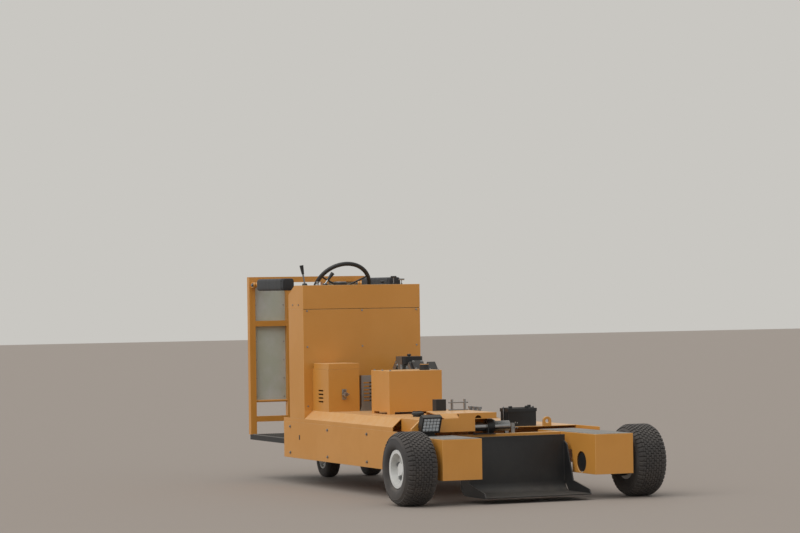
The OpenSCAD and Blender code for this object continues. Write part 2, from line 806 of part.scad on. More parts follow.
// Lift arms with a cross tube and the cylinder's lug
module scoop_arms() {
    arm_z0 = lift_z - arm_under - lift_arm_h;
    arm_end = -scoop_back - scoop_t;
    cross_x = lug_x;
    color(yellow) at_axle() {
        for (s = [-1, 1]) translate([0, s * lift_arm_y, 0]) difference() {
            side_plate(-lift_arm_w / 2, lift_arm_w / 2) {
                translate([lift_x, lift_z]) circle(r = lift_pin_d);
                translate([lift_x, arm_z0]) square([arm_end - lift_x, lift_arm_h]);
            }
            bar_y(lift_x, lift_z, lift_pin_d + 2 * fit, -lift_arm_w, lift_arm_w);
        }
        bar_y(cross_x, arm_z0 + lift_arm_h / 2, 50, -lift_arm_y + lift_arm_w / 2,
            lift_arm_y - lift_arm_w / 2);
        for (s = [-1, 1]) {
            y0 = s > 0 ? eye_w / 2 + side_gap : -eye_w / 2 - side_gap - ear_t;
            side_plate(y0, y0 + ear_t) {
                translate([lug_x, lug_z]) circle(r = 28);
                translate([lug_x - 28, lug_z]) square([56, arm_z0 + lift_arm_h / 2 - lug_z]);
            }
        }
        bar_y(lug_x, lug_z, lift_rod_d, -eye_w / 2 - side_gap - ear_t, eye_w / 2 + side_gap + ear_t);
    }
}

// Lift cylinder, from the anchor pin to the lug pin
lift_vec = [lug_x - anchor_x, lug_z - anchor_z];
lift_len = norm(lift_vec);
lift_tilt = atan2(-lift_vec[1], lift_vec[0]);
barrel_l = lift_len * 0.72;
module lift_frame() {
    at_axle() translate([anchor_x, 0, anchor_z]) rotate([0, lift_tilt, 0]) children();
}
module lift_barrel() {
    color(black) lift_frame() difference() {
        union() {
            bar_y(0, 0, 46, -eye_w / 2, eye_w / 2);
            slab([10, 40], [-12, 12], [-14, 14]);
            bar_x(0, 0, lift_bore + 14, 34, barrel_l);
        }
        bar_y(0, 0, lift_rod_d + 2 * fit, -eye_w, eye_w);
        bar_x(0, 0, lift_rod_d + 2 * fit, 60, barrel_l + over);
    }
}
module lift_rod() {
    color(steel) lift_frame() difference() {
        union() {
            bar_y(lift_len, 0, 46, -eye_w / 2, eye_w / 2);
            bar_x(0, 0, lift_rod_d, barrel_l * 0.6, lift_len - 16);
        }
        bar_y(lift_len, 0, lift_rod_d + 2 * eye_play, -eye_w, eye_w);
    }
}

// Steer yoke: a turntable, a stem between the two wheels and their axle
slew_t = 14;
yoke_top = floor_under - slew_t - fit;
stem_half = rear_y - rear_w / 2 - side_gap;
module steer_yoke() {
    color(yellow) at_axle() translate([steer_x, 0, 0]) {
        bar_z(0, 0, slew_d - 20, yoke_top - 14, yoke_top);
        slab([-40, 40], [-stem_half, stem_half], [rear_axle_z - 36, yoke_top - 14]);
        bar_y(0, rear_axle_z, rear_axle_d, -rear_y - rear_w / 2, rear_y + rear_w / 2);
    }
}

// Twin rear wheels on one axle
module steer_wheels() {
    color(rubber) at_axle() for (s = [-1, 1])
        translate([steer_x, s * rear_y, rear_axle_z]) rotate([90, 0, 0]) difference() {
            rotate_extrude($fn = 48) difference() {
                translate([rear_d / 4, 0]) rounded(rear_d / 2, rear_w, 18);
                translate([-rear_d, -rear_w]) square([rear_d, 2 * rear_w]);
            }
            cylinder(d = rear_axle_d + 2 * fit, h = 2 * rear_w, center = true);
            for (e = [-1, 1]) translate([0, 0, e * (rear_w / 2)])
                cylinder(d = rear_d * 0.5, h = 24, center = true);
        }
}

// Operator platform: a floor on an edge frame, with the slewing ring of the steered wheels under it
floor_sheet = 6;
edge_w = 40;
module platform() {
    color(black) at_axle() {
        difference() {
            slab([platform_x0, console_x0], [platform_y0, platform_left], [floor_under, floor_z]);
            for (bay = [[platform_x0 + edge_w, steer_x - (slew_d + edge_w) / 2],
                    [steer_x + (slew_d + edge_w) / 2, console_x0 - spine_l - edge_w / 2]])
                slab(bay, [platform_y0 + edge_w, platform_left - edge_w],
                    [floor_under - over, floor_z - floor_sheet]);
        }
        bar_z(steer_x, 0, slew_d, floor_under - slew_t, floor_under);
    }
}

// Rear guard: posts, cross tubes and the two brackets of the padded arms
sheet_back = 3;
sheet_t = 6;
post_y = [platform_y0, platform_y0 + post + bay_w, platform_left - 2 * post - bay_w,
    platform_left - post];
module guard_frame() {
    color(yellow) at_axle() {
        for (y = post_y) slab([guard_x0, guard_x0 + post], [y, y + post], [floor_z, guard_z - guard_tube]);
        slab([guard_x0, guard_x0 + post], [platform_y0, platform_left], [guard_z - guard_tube, guard_z]);
        for (z = [guard_mid_z, floor_z + 90])
            slab([guard_x0 + sheet_back + sheet_t, guard_x0 + post - 2],
                [platform_y0 + post, platform_left - post], [z, z + guard_tube]);
        bar_y(guard_x0 + post - guard_thin_d, guard_thin_z, guard_thin_d, platform_y0 + post,
            platform_left - post);
        for (y = arm_y) translate([0, y, 0]) {
            ear_pair(arm_x, arm_z, 20, guard_x0 + post, arm_z + 20, eye_w + 2 * side_gap);
            bar_y(arm_x, arm_z, 16, -eye_w / 2 - side_gap - ear_t, eye_w / 2 + side_gap + ear_t);
        }
    }
}

// White sheets in the two outer bays of the guard
module guard_sheet() {
    color(pale) at_axle() for (y = [post_y[0] + post, post_y[2] + post])
        slab([guard_x0 + sheet_back, guard_x0 + sheet_back + sheet_t], [y, y + bay_w],
            [guard_thin_z, guard_z - guard_tube]);
}

// Padded side arms that flip up: index 0 right, 1 left
module arm(i) {
    color(yellow) at_axle() translate([0, arm_y[i], 0]) difference() {
        union() {
            bar_y(arm_x, arm_z, 38, -eye_w / 2, eye_w / 2);
            bar_x(0, arm_z, arm_tube_d, arm_x + 10, foam_x0 + foam_l - 12);
        }
        bar_y(arm_x, arm_z, 16 + 2 * fit, -eye_w, eye_w);
    }
}
module foam(i) {
    color(black) at_axle() translate([0, arm_y[i], 0]) difference() {
        bar_x(0, arm_z, foam_d, foam_x0, foam_x0 + foam_l);
        bar_x(0, arm_z, arm_tube_d + 2 * fit, foam_x0 - over, foam_x0 + foam_l - 12 + fit);
    }
}
module arm_right() {
    arm(0);
}
module arm_left() {
    arm(1);
}
module foam_right() {
    foam(0);
}
module foam_left() {
    foam(1);
}

// Console: a folded body, a bolted front panel and a top cover
module console_body() {
    color(yellow) at_axle() difference() {
        slab([console_x0, console_x1 - sheet], [-body_half_w, deck_rear_y], [shoulder_z, seam_z]);
        slab([console_x0 + sheet, console_x1], [-inner_w, deck_rear_y - sheet],
            [shoulder_z + sheet, seam_z + over]);
    }
}
module console_front() {
    color(yellow) at_axle() slab([console_x1 - sheet, console_x1], [-body_half_w, deck_rear_y],
        [deck_z, seam_z - seam_gap]);
}
function cover_side(t) = [
    [console_x0 + t, seam_z + (t > 0 ? -over : 0)],
    [console_x1 - t, seam_z + (t > 0 ? -over : 0)],
    [console_x1 - t, console_z - t],
    [console_x0 + brow_l + t * 0.25, console_z - t],
    [console_x0 + t, console_z - brow_h - t * 0.75]];
module console_cover() {
    color(yellow) at_axle() difference() {
        side_plate(-body_half_w, deck_rear_y) polygon(cover_side(0));
        side_plate(-inner_w, deck_rear_y - sheet) polygon(cover_side(sheet));
    }
}

// Steering column: a boss on the console's brow, square to the wheel
wheel_axis = [-sin(wheel_tilt), 0, cos(wheel_tilt)];
wheel_mid = [wheel_x, wheel_y, wheel_z];
brow_dir = [brow_l, brow_h] / norm([brow_l, brow_h]);
brow_n = [-brow_dir[1], 0, brow_dir[0]];
brow_foot = [console_x0, wheel_y, console_z - brow_h];
column_l = ((wheel_mid - brow_foot) * brow_n) / (wheel_axis * brow_n);
module steering_column() {
    color(black) at_axle() intersection() {
        translate(wheel_mid) rotate([0, -wheel_tilt, 0]) translate([0, 0, -column_l - 60])
            cylinder(d = 52, h = column_l + 60 - 28);
        difference() {
            slab([wheel_x - 200, console_x1], [wheel_y - 60, wheel_y + 60], [seam_z, console_z + 200]);
            side_plate(wheel_y - 80, wheel_y + 80) polygon([
                [console_x0, seam_z - over], [console_x1 + over, seam_z - over],
                [console_x1 + over, console_z], [console_x0 + brow_l, console_z],
                [console_x0, console_z - brow_h]]);
        }
    }
}
module steering_wheel() {
    ring_r = (wheel_d - wheel_rim_d) / 2;
    color(black) at_axle() translate(wheel_mid) rotate([0, -wheel_tilt, 0]) {
        rotate_extrude($fn = 64) translate([ring_r, 0]) circle(d = wheel_rim_d, $fn = 24);
        translate([0, 0, -27.7]) cylinder(d = 64, h = 40);
        for (a = [60, 180, 300]) rotate([0, 90, a]) cylinder(d = 12, h = ring_r - 4);
    }
}

// Levers in round boots, a gauge and T-handles on the console. A lever is its side position, its
// lean and its length, a T-handle its side position and height
lever_d = 12;
grip_d = 28;
grip_l = 62;
boot_d = 40;
boot_h = 14;
module levers() {
    color(black) at_axle() {
        for (lever = [[-622, 10, 130], [-470, -38, 92]])
            translate([console_x1 - 90, lever[0], console_z]) {
                cylinder(d1 = boot_d, d2 = grip_d, h = boot_h);
                translate([0, 0, boot_h - 4]) rotate([lever[1], 0, 0]) {
                    cylinder(d = lever_d, h = lever[2] - grip_l / 2);
                    translate([0, 0, lever[2] - grip_l]) cylinder(d1 = lever_d * 1.4, d2 = grip_d, h = grip_l);
                }
            }
        for (handle = [[42, 52], [102, 34]])
            translate([console_x1 - 90, handle[0], console_z]) {
                cylinder(d = lever_d, h = 6);
                cylinder(d = lever_d / 2, h = handle[1]);
                bar_y(0, handle[1], lever_d, -20, 20);
            }
        translate([console_x1 - 60, -371, console_z]) {
            cylinder(d = 96, h = 14);
            translate([0, 0, 14]) cylinder(d1 = 96, d2 = 84, h = 6);
        }
    }
}

// Louvred box: an open-topped case with slots in its right side, and a hinged lid
louvre_x1 = console_x1 + louvre_l + 2;
louvre_y0 = -body_half_w + louvre_inset;
louvre_top = deck_z + louvre_h;
lid_axis_x = console_x1 + 14;
lid_axis_z = louvre_top + lid_h - 10;
knuckle_d = 18;
lid_pin_d = 8;
knuckle_w = 90;
post_w = 14;
wall = 4;
slot_l = 90;
slot_h = 10;
slot_pitch = 25;
slot_up = 60;
slot_back = 100;
latch_w = 26;
latch_h = 60;
module louvre_box() {
    color(yellow) at_axle() difference() {
        slab([console_x1 + 2, louvre_x1], [louvre_y0, louvre_y0 + louvre_w], [deck_z, louvre_top]);
        slab([console_x1 + 2 + wall, louvre_x1 - wall], [louvre_y0 + wall, louvre_y0 + louvre_w - wall],
            [deck_z + wall, louvre_top + over]);
        for (i = [0:3]) slab([louvre_x1 - slot_back - slot_l, louvre_x1 - slot_back],
            [louvre_y0 - over, louvre_y0 + wall + over],
            [deck_z + slot_up + slot_pitch * i, deck_z + slot_up + slot_pitch * i + slot_h]);
    }
    y = louvre_y0 + louvre_w / 2;
    color(yellow) at_axle() {
        slab([louvre_x1, louvre_x1 + wall], [y - latch_w / 2, y + latch_w / 2],
            [louvre_top - 140 - latch_h, louvre_top - 140]);
        bar_x(y, louvre_top - 140 - latch_h / 2, 12, louvre_x1 + wall, louvre_x1 + 22);
        bar_x(y, louvre_top - 140 - latch_h / 2, 34, louvre_x1 + 22, louvre_x1 + 34);
        for (s = [-1, 1]) {
            y0 = y + (s > 0 ? knuckle_w / 2 + side_gap : -knuckle_w / 2 - side_gap - post_w);
            slab([console_x1 + 2, console_x1 + 2 + wall], [y0, y0 + post_w], [louvre_top, lid_axis_z]);
            bar_y(lid_axis_x, lid_axis_z, knuckle_d, y0, y0 + post_w);
            slab([console_x1 + 2, lid_axis_x], [y0, y0 + post_w], [lid_axis_z - 5, lid_axis_z + 5]);
        }
        bar_y(lid_axis_x, lid_axis_z, lid_pin_d, y - knuckle_w / 2 - side_gap, y + knuckle_w / 2 + side_gap);
    }
}
module louvre_lid() {
    x0 = lid_axis_x + knuckle_d / 2 + side_gap;
    y = louvre_y0 + louvre_w / 2;
    color(yellow) at_axle() difference() {
        union() {
            difference() {
                slab([x0, louvre_x1], [louvre_y0, louvre_y0 + louvre_w],
                    [louvre_top + fit, louvre_top + lid_h]);
                slab([x0 + wall, louvre_x1 - wall], [louvre_y0 + wall, louvre_y0 + louvre_w - wall],
                    [louvre_top - over, louvre_top + lid_h - wall]);
            }
            bar_y(lid_axis_x, lid_axis_z, knuckle_d, y - knuckle_w / 2, y + knuckle_w / 2);
            slab([lid_axis_x, x0 + wall], [y - knuckle_w / 2, y + knuckle_w / 2],
                [lid_axis_z - 4, lid_axis_z + 4]);
        }
        bar_y(lid_axis_x, lid_axis_z, lid_pin_d + 2 * fit, y - knuckle_w, y + knuckle_w);
    }
}

// Hydraulic tank on four feet, with a flanged lid and a breather
module hydraulic_tank() {
    x1 = -tank_back;
    y1 = deck_front_y;
    color(yellow) at_axle() {
        slab([x1 - tank_l, x1], [y1 - tank_w, y1], [deck_z + foot_h, deck_z + foot_h + tank_h]);
        for (x = [x1 - tank_l, x1 - 40], y = [y1 - tank_w, y1 - 40])
            slab([x, x + 40], [y, y + 40], [deck_z, deck_z + foot_h]);
        bar_z(x1 - 80, y1 - 90, 60, deck_z + foot_h + tank_h, deck_z + foot_h + tank_h + 40);
    }
}

// Engine: a round crankcase on feet, two finned cylinders in a vee with their heads and rocker
// covers, the air box between them, the silencer ahead and the pump on the right
head_t = 34;
rocker_t = 22;
fins = 7;
barrel_start = crank_d * 0.4;
barrel_end = barrel_start + (fins + 1) * fin_pitch;
air_w = 150;
air_h = 74;
pump_d = 96;
pump_l = 105;
pipe_d = 30;
module at_crank() {
    translate([-engine_back, engine_y, deck_z + crank_up]) children();
}
module cylinder_bank(lean) {
    rotate([0, lean, 0]) {
        translate([0, 0, barrel_start - 10]) cylinder(d = barrel_d, h = barrel_end - barrel_start + 10);
        for (i = [1:fins]) translate([0, 0, barrel_start + i * fin_pitch]) linear_extrude(3)
            rounded(fin_w, fin_w, 14);
        translate([0, 0, barrel_end]) linear_extrude(head_t) rounded(fin_w * 0.94, fin_w * 0.9, 10);
        translate([0, 0, barrel_end + head_t]) linear_extrude(rocker_t)
            rounded(fin_w * 0.78, fin_w * 0.7, 16);
    }
}
module engine() {
    foot_l = crank_d * 0.42;
    silencer_x = crank_d * 0.5 + silencer_d * 0.9;
    silencer_z = -crank_up * 0.28;
    color("#6F7275") at_axle() at_crank() {
        bar_y(0, 0, crank_d, -crank_w / 2, crank_w / 2);
        bar_y(0, 0, crank_d * 0.55, -crank_w / 2 - 14, -crank_w / 2);
        slab([-foot_l, foot_l], [-crank_w / 2, crank_w / 2], [-crank_up, -crank_up * 0.4]);
        slab([-foot_l * 1.4, foot_l * 1.4], [-crank_w / 2 + 15, crank_w / 2 - 15],
            [-crank_up, -crank_up + 14]);
        for (lean = [-vee_half, vee_half]) cylinder_bank(lean);
        translate([0, 0, crank_d * 0.5 - 16]) linear_extrude(air_h + 16) rounded(air_w * 0.4, air_w, 12);
        translate([0, 0, crank_d * 0.5 + air_h * 0.9]) linear_extrude(air_h * 0.7)
            rounded(air_w * 0.98, air_w, 24);
        bar_y(0, 0, pump_d, -crank_w / 2 - 14 - pump_l * 0.6, -crank_w / 2 - 14);
        slab([-pump_d * 0.4, pump_d * 0.4], [-crank_w / 2 - 14 - pump_l, -crank_w / 2 - 14 - pump_l * 0.6],
            [-pump_d * 0.5, pump_d * 0.5]);
        bar_y(silencer_x, silencer_z, silencer_d, -silencer_l / 2, silencer_l / 2);
        for (y = [-1, 1]) bar([foot_l, y * crank_w * 0.3, -crank_up * 0.3],
            [silencer_x, y * crank_w * 0.3, silencer_z], pipe_d);
        slab([foot_l, silencer_x + 10], [-12, 12], [-crank_up, silencer_z]);
        bar([silencer_x, silencer_l * 0.3, silencer_z], [silencer_x + silencer_d * 0.5,
            silencer_l * 0.3, silencer_z - silencer_d * 0.62], pipe_d);
    }
}

// Blower housing on the engine's left side: a round shroud with two wings up over the cylinders,
// and a slatted air screen
slats = 9;
module blower_housing() {
    wing_l = barrel_end + head_t * 0.7;
    y0 = crank_w / 2;
    slat_pitch = screen_d / (slats + 1);
    color(black) at_axle() at_crank() {
        difference() {
            side_plate(y0, y0 + blower_t) {
                circle(d = blower_d);
                for (lean = [-vee_half, vee_half]) rotate(-lean) translate([-fin_w / 2, 0])
                    square([fin_w, wing_l]);
            }
            bar_y(0, 0, screen_d, y0 + blower_t * 0.6, y0 + blower_t + over);
        }
        intersection() {
            bar_y(0, 0, screen_d, y0 + blower_t * 0.6, y0 + blower_t);
            for (i = [1:slats]) slab([-screen_d, screen_d], [y0 + blower_t * 0.6, y0 + blower_t * 0.9],
                [-screen_d / 2 + i * slat_pitch - 3, -screen_d / 2 + i * slat_pitch + 3]);
        }
    }
}

// Oil cooler beside the engine: an upright plate with rounded slots on a flared foot
cooler_w = 90;
cooler_h = 240;
cooler_t = 40;
cooler_slot_h = 10;
cooler_pitch = 24;
module oil_cooler() {
    y0 = louvre_y0 + louvre_w + 15;
    ym = y0 + cooler_w / 2;
    color(steel) at_axle() {
        end_plate(louvre_x1 - cooler_t, louvre_x1) difference() {
            union() {
                translate([y0, deck_z]) square([cooler_w, cooler_h]);
                translate([ym, deck_z + 20]) polygon([[-cooler_w * 0.5, 12], [-cooler_w * 0.62, -20],
                    [cooler_w * 0.62, -20], [cooler_w * 0.5, 12]]);
            }
            for (i = [0:5]) translate([ym, deck_z + 70 + cooler_pitch * i])
                rounded(cooler_w * 0.66, cooler_slot_h, cooler_slot_h * 0.45);
        }
    }
}

// Battery box on the low deck: a case with a ribbed end, its lid and a vent cap
battery_lid_h = 22;
ribs = 5;
module battery_box() {
    x1 = -pod_rear - 10 - eye_t;
    x0 = x1 - battery_l;
    y1 = battery_y + battery_w;
    rib_pitch = battery_l / (ribs + 1);
    color(black) at_axle() {
        slab([x0 + 4, x1 - 4], [battery_y + 4, y1 - 4], [panel_z1, panel_z1 + battery_h - battery_lid_h]);
        slab([x0, x1], [battery_y, y1], [panel_z1 + battery_h - battery_lid_h, panel_z1 + battery_h]);
        for (i = [1:ribs]) slab([x0 + i * rib_pitch - 3, x0 + i * rib_pitch + 3], [battery_y, y1],
            [panel_z1, panel_z1 + battery_h - battery_lid_h]);
        bar_z((x0 + x1) / 2, y1 - 26, 24, panel_z1 + battery_h, panel_z1 + battery_h + 19);
    }
}

// Valve bank on the low deck: a manifold, three spool sections with their end caps and fittings,
// and the rack of control rods that stands on the raised deck beside it
valve_x = -900;
valve_y = -40;
sections = 3;
rack_y = [-190, -100];
rack_h = 105;
rod_d = 8;
module valve_bank() {
    pitch = valve_l / sections;
    ym = valve_y + valve_w / 2;
    rack_x = -cover_back - 16;
    color(steel) at_axle() {
        slab([valve_x, valve_x + valve_l], [valve_y, valve_y + valve_w], [panel_z1, panel_z1 + valve_h]);
        for (i = [0:sections - 1]) translate([valve_x + (i + 0.5) * pitch, 0, 0]) {
            slab([-pitch * 0.4, pitch * 0.4], [valve_y + 12, valve_y + valve_w - 12],
                [panel_z1 + valve_h, panel_z1 + valve_h + 28]);
            bar_y(0, panel_z1 + valve_h * 0.6, 34, valve_y - 22, valve_y + valve_w + 22);
            bar_z(0, ym, 24, panel_z1 + valve_h, panel_z1 + valve_h + 48);
            bar_z(0, ym, 34, panel_z1 + valve_h + 48, panel_z1 + valve_h + 62);
        }
        for (y = rack_y) slab([rack_x - 6, rack_x + 6], [y - 6, y + 6], [deck_z, deck_z + rack_h]);
        for (z = [0.35, 0.8]) bar_y(rack_x, deck_z + rack_h * z, rod_d, rack_y[0] - 24, rack_y[1] + 24);
    }
}

frame_rails();
cross_members();
side_panel_right();
side_panel_left();
deck_right();
deck_left();
winch_cover();
deck_fittings();
pod_right();
pod_left();
step_pads();
drive_motors();
work_lamp();
winch();
tyre_right();
rim_right();
tyre_left();
rim_left();
lift_brackets();
scoop_bucket();
scoop_arms();
lift_barrel();
lift_rod();
steer_yoke();
steer_wheels();
platform();
guard_frame();
guard_sheet();
arm_right();
foam_right();
arm_left();
foam_left();
console_body();
console_front();
console_cover();
steering_column();
steering_wheel();
levers();
louvre_box();
louvre_lid();
hydraulic_tank();
engine();
blower_housing();
oil_cooler();
battery_box();
valve_bank();
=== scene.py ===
"""Looks of an aircraft pushback tractor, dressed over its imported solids.

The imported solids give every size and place. Each solid is shown through a copy with
rounded edges and a painted, moulded or machined finish, and the classes below add what is
too fine for the solids: tyre tread, the squared skin of the foam pads, fasteners, lamp
cells, steel lines, the latch and the small controls. Lengths are metres unless a name
ends in mm.
"""

import json
import logging
import math
import random
from dataclasses import dataclass, field, replace
from enum import Enum
from typing import Any, Callable, Iterable, Sequence

import bmesh
import bpy
from mathutils import Matrix, Vector


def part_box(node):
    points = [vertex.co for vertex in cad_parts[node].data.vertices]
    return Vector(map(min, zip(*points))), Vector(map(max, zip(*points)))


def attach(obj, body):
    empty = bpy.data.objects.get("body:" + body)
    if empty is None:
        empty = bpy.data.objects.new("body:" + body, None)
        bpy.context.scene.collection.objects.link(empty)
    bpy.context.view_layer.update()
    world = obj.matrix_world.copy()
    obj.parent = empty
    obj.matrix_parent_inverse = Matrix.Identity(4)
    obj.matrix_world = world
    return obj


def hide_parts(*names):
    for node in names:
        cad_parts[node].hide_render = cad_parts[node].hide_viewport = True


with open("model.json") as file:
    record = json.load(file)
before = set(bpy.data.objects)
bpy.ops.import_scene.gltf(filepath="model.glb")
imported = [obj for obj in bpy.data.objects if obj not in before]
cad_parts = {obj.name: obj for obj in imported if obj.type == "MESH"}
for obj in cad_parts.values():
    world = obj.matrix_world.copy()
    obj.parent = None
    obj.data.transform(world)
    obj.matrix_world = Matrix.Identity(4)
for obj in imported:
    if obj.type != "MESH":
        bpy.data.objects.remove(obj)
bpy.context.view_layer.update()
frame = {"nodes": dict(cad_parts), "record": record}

LOG = logging.getLogger("tractor")
Socket = bpy.types.NodeSocket
Tree = bpy.types.NodeTree
Profile = list[tuple[float, float]]

MM = 0.001
FULL_TURN = 2 * math.pi
PHOTO_WIDTH_PX = 800
# Faces that meet at less than this are shown as one
FLAT_ANGLE = math.radians(0.4)
# Edges that turn by more than this stay crisp
SMOOTH_ANGLE = math.radians(32)
# Corners of a solid that are nearer than this are one corner
MERGE = 2e-5
# The same for the pole of a turned shape
POLE_MERGE = 1e-6
# Top of the console, where its levers and controls stand
CONSOLE_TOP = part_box("console_cover")[1].z
# Body that each solid rides on
NODE_BODY = {node: body for body, nodes in frame["record"]["behaviour"]["bodies"].items() for node in nodes}


class Axis(Enum):
    """The machine's own directions."""

    FORWARD = (1.0, 0.0, 0.0)
    LEFT = (0.0, 1.0, 0.0)
    UP = (0.0, 0.0, 1.0)

    @property
    def vector(self) -> Vector:
        """The direction as a vector."""
        return Vector(self.value)


class Slot(Enum):
    """Names of the record's material slots."""

    YELLOW = "yellow_paint"
    BLACK = "black_paint"
    PLASTIC = "black_plastic"
    TYRE = "tyre_rubber"
    RIM = "white_rim"
    FOAM = "foam"
    STEEL = "bare_steel"
    ALUMINIUM = "aluminium"
    ENGINE = "engine_metal"
    SHEET = "white_sheet"
    GRIT = "grit_pad"


def linear(code: str) -> tuple[float, float, float, float]:
    """Turns an sRGB hex code into a linear colour.

    Args:
        code: The colour as #RRGGBB.

    Returns:
        Red, green, blue and an alpha of 1.
    """
    parts = [int(code[i:i + 2], 16) / 255 for i in (1, 3, 5)]
    red, green, blue = (c / 12.92 if c <= 0.04045 else ((c + 0.055) / 1.055) ** 2.4 for c in parts)
    return (red, green, blue, 1.0)


def add_node(tree: Tree, kind: str, settings: dict[str, Any] | None = None,
             values: dict[Any, Any] | None = None, links: dict[Any, Any] | None = None) -> bpy.types.Node:
    """Adds one node to a tree.

    Args:
        tree: The tree that takes the node.
        kind: The node's type name.
        settings: Attributes of the node.
        values: Values for its inputs.
        links: Sockets that feed its inputs.

    Returns:
        The new node.
    """
    node = tree.nodes.new(kind)
    for key, value in (settings or {}).items():
        setattr(node, key, value)
    for key, value in (values or {}).items():
        node.inputs[key].default_value = value
    for key, socket in (links or {}).items():
        tree.links.new(socket, node.inputs[key])
    return node


# Settings that several nodes share
SOLID_NOISE = {"noise_dimensions": "3D"}
SMOOTH_STEP = {"clamp": True, "interpolation_type": "SMOOTHSTEP"}
COLOUR_MIX = {"data_type": "RGBA"}
PRODUCT = {"operation": "MULTIPLY"}
CLAMPED_SUM = {"operation": "MULTIPLY_ADD", "use_clamp": True}


@dataclass(frozen=True)
class Patches:
    """Irregular patches of a layer: their size, their detail and the band that they fade in over."""

    size_mm: float
    detail: float
    raggedness: float
    start: float
    full: float

    def cover(self, tree: Tree, place: Socket, least: float, most: float) -> Socket:
        """Adds the patches to a material.

        Args:
            tree: The material's tree.
            place: Gives the place on the piece.
            least: How much the layer covers between the patches.
            most: How much it covers on them.

        Returns:
            How much the layer covers at each place.
        """
        noise = add_node(tree, "ShaderNodeTexNoise", SOLID_NOISE,
                         {"Scale": 1 / (self.size_mm * MM), "Detail": self.detail,
                          "Roughness": self.raggedness}, {"Vector": place})
        return add_node(tree, "ShaderNodeMapRange", SMOOTH_STEP,
                        {1: self.start, 2: self.full, 3: least, 4: most}, {0: noise.outputs[0]}).outputs[0]


# Splashed dirt, in hand-sized patches that run into one another
GRIME_PATCHES = Patches(70.0, 6.0, 0.65, 0.35, 0.68)
# Dust film, thinner where it was wiped; it also carries the painted top light
DUST_AND_TOP_LIGHT_PATCHES = Patches(48.0, 7.0, 0.7, 0.3, 0.7)
# Share of the full grime, or of the dust with its painted top light, that lies between the patches
GRIME_FLOOR = 0.25
DUST_AND_TOP_LIGHT_FLOOR = 0.45
# Height at which the grime starts to thin out
GRIME_BASE = 0.04
# How much the surface's roughness varies between its blotches, and how much full dust adds
ROUGHNESS_SPREAD = 0.22
DUST_ROUGHNESS = 0.35


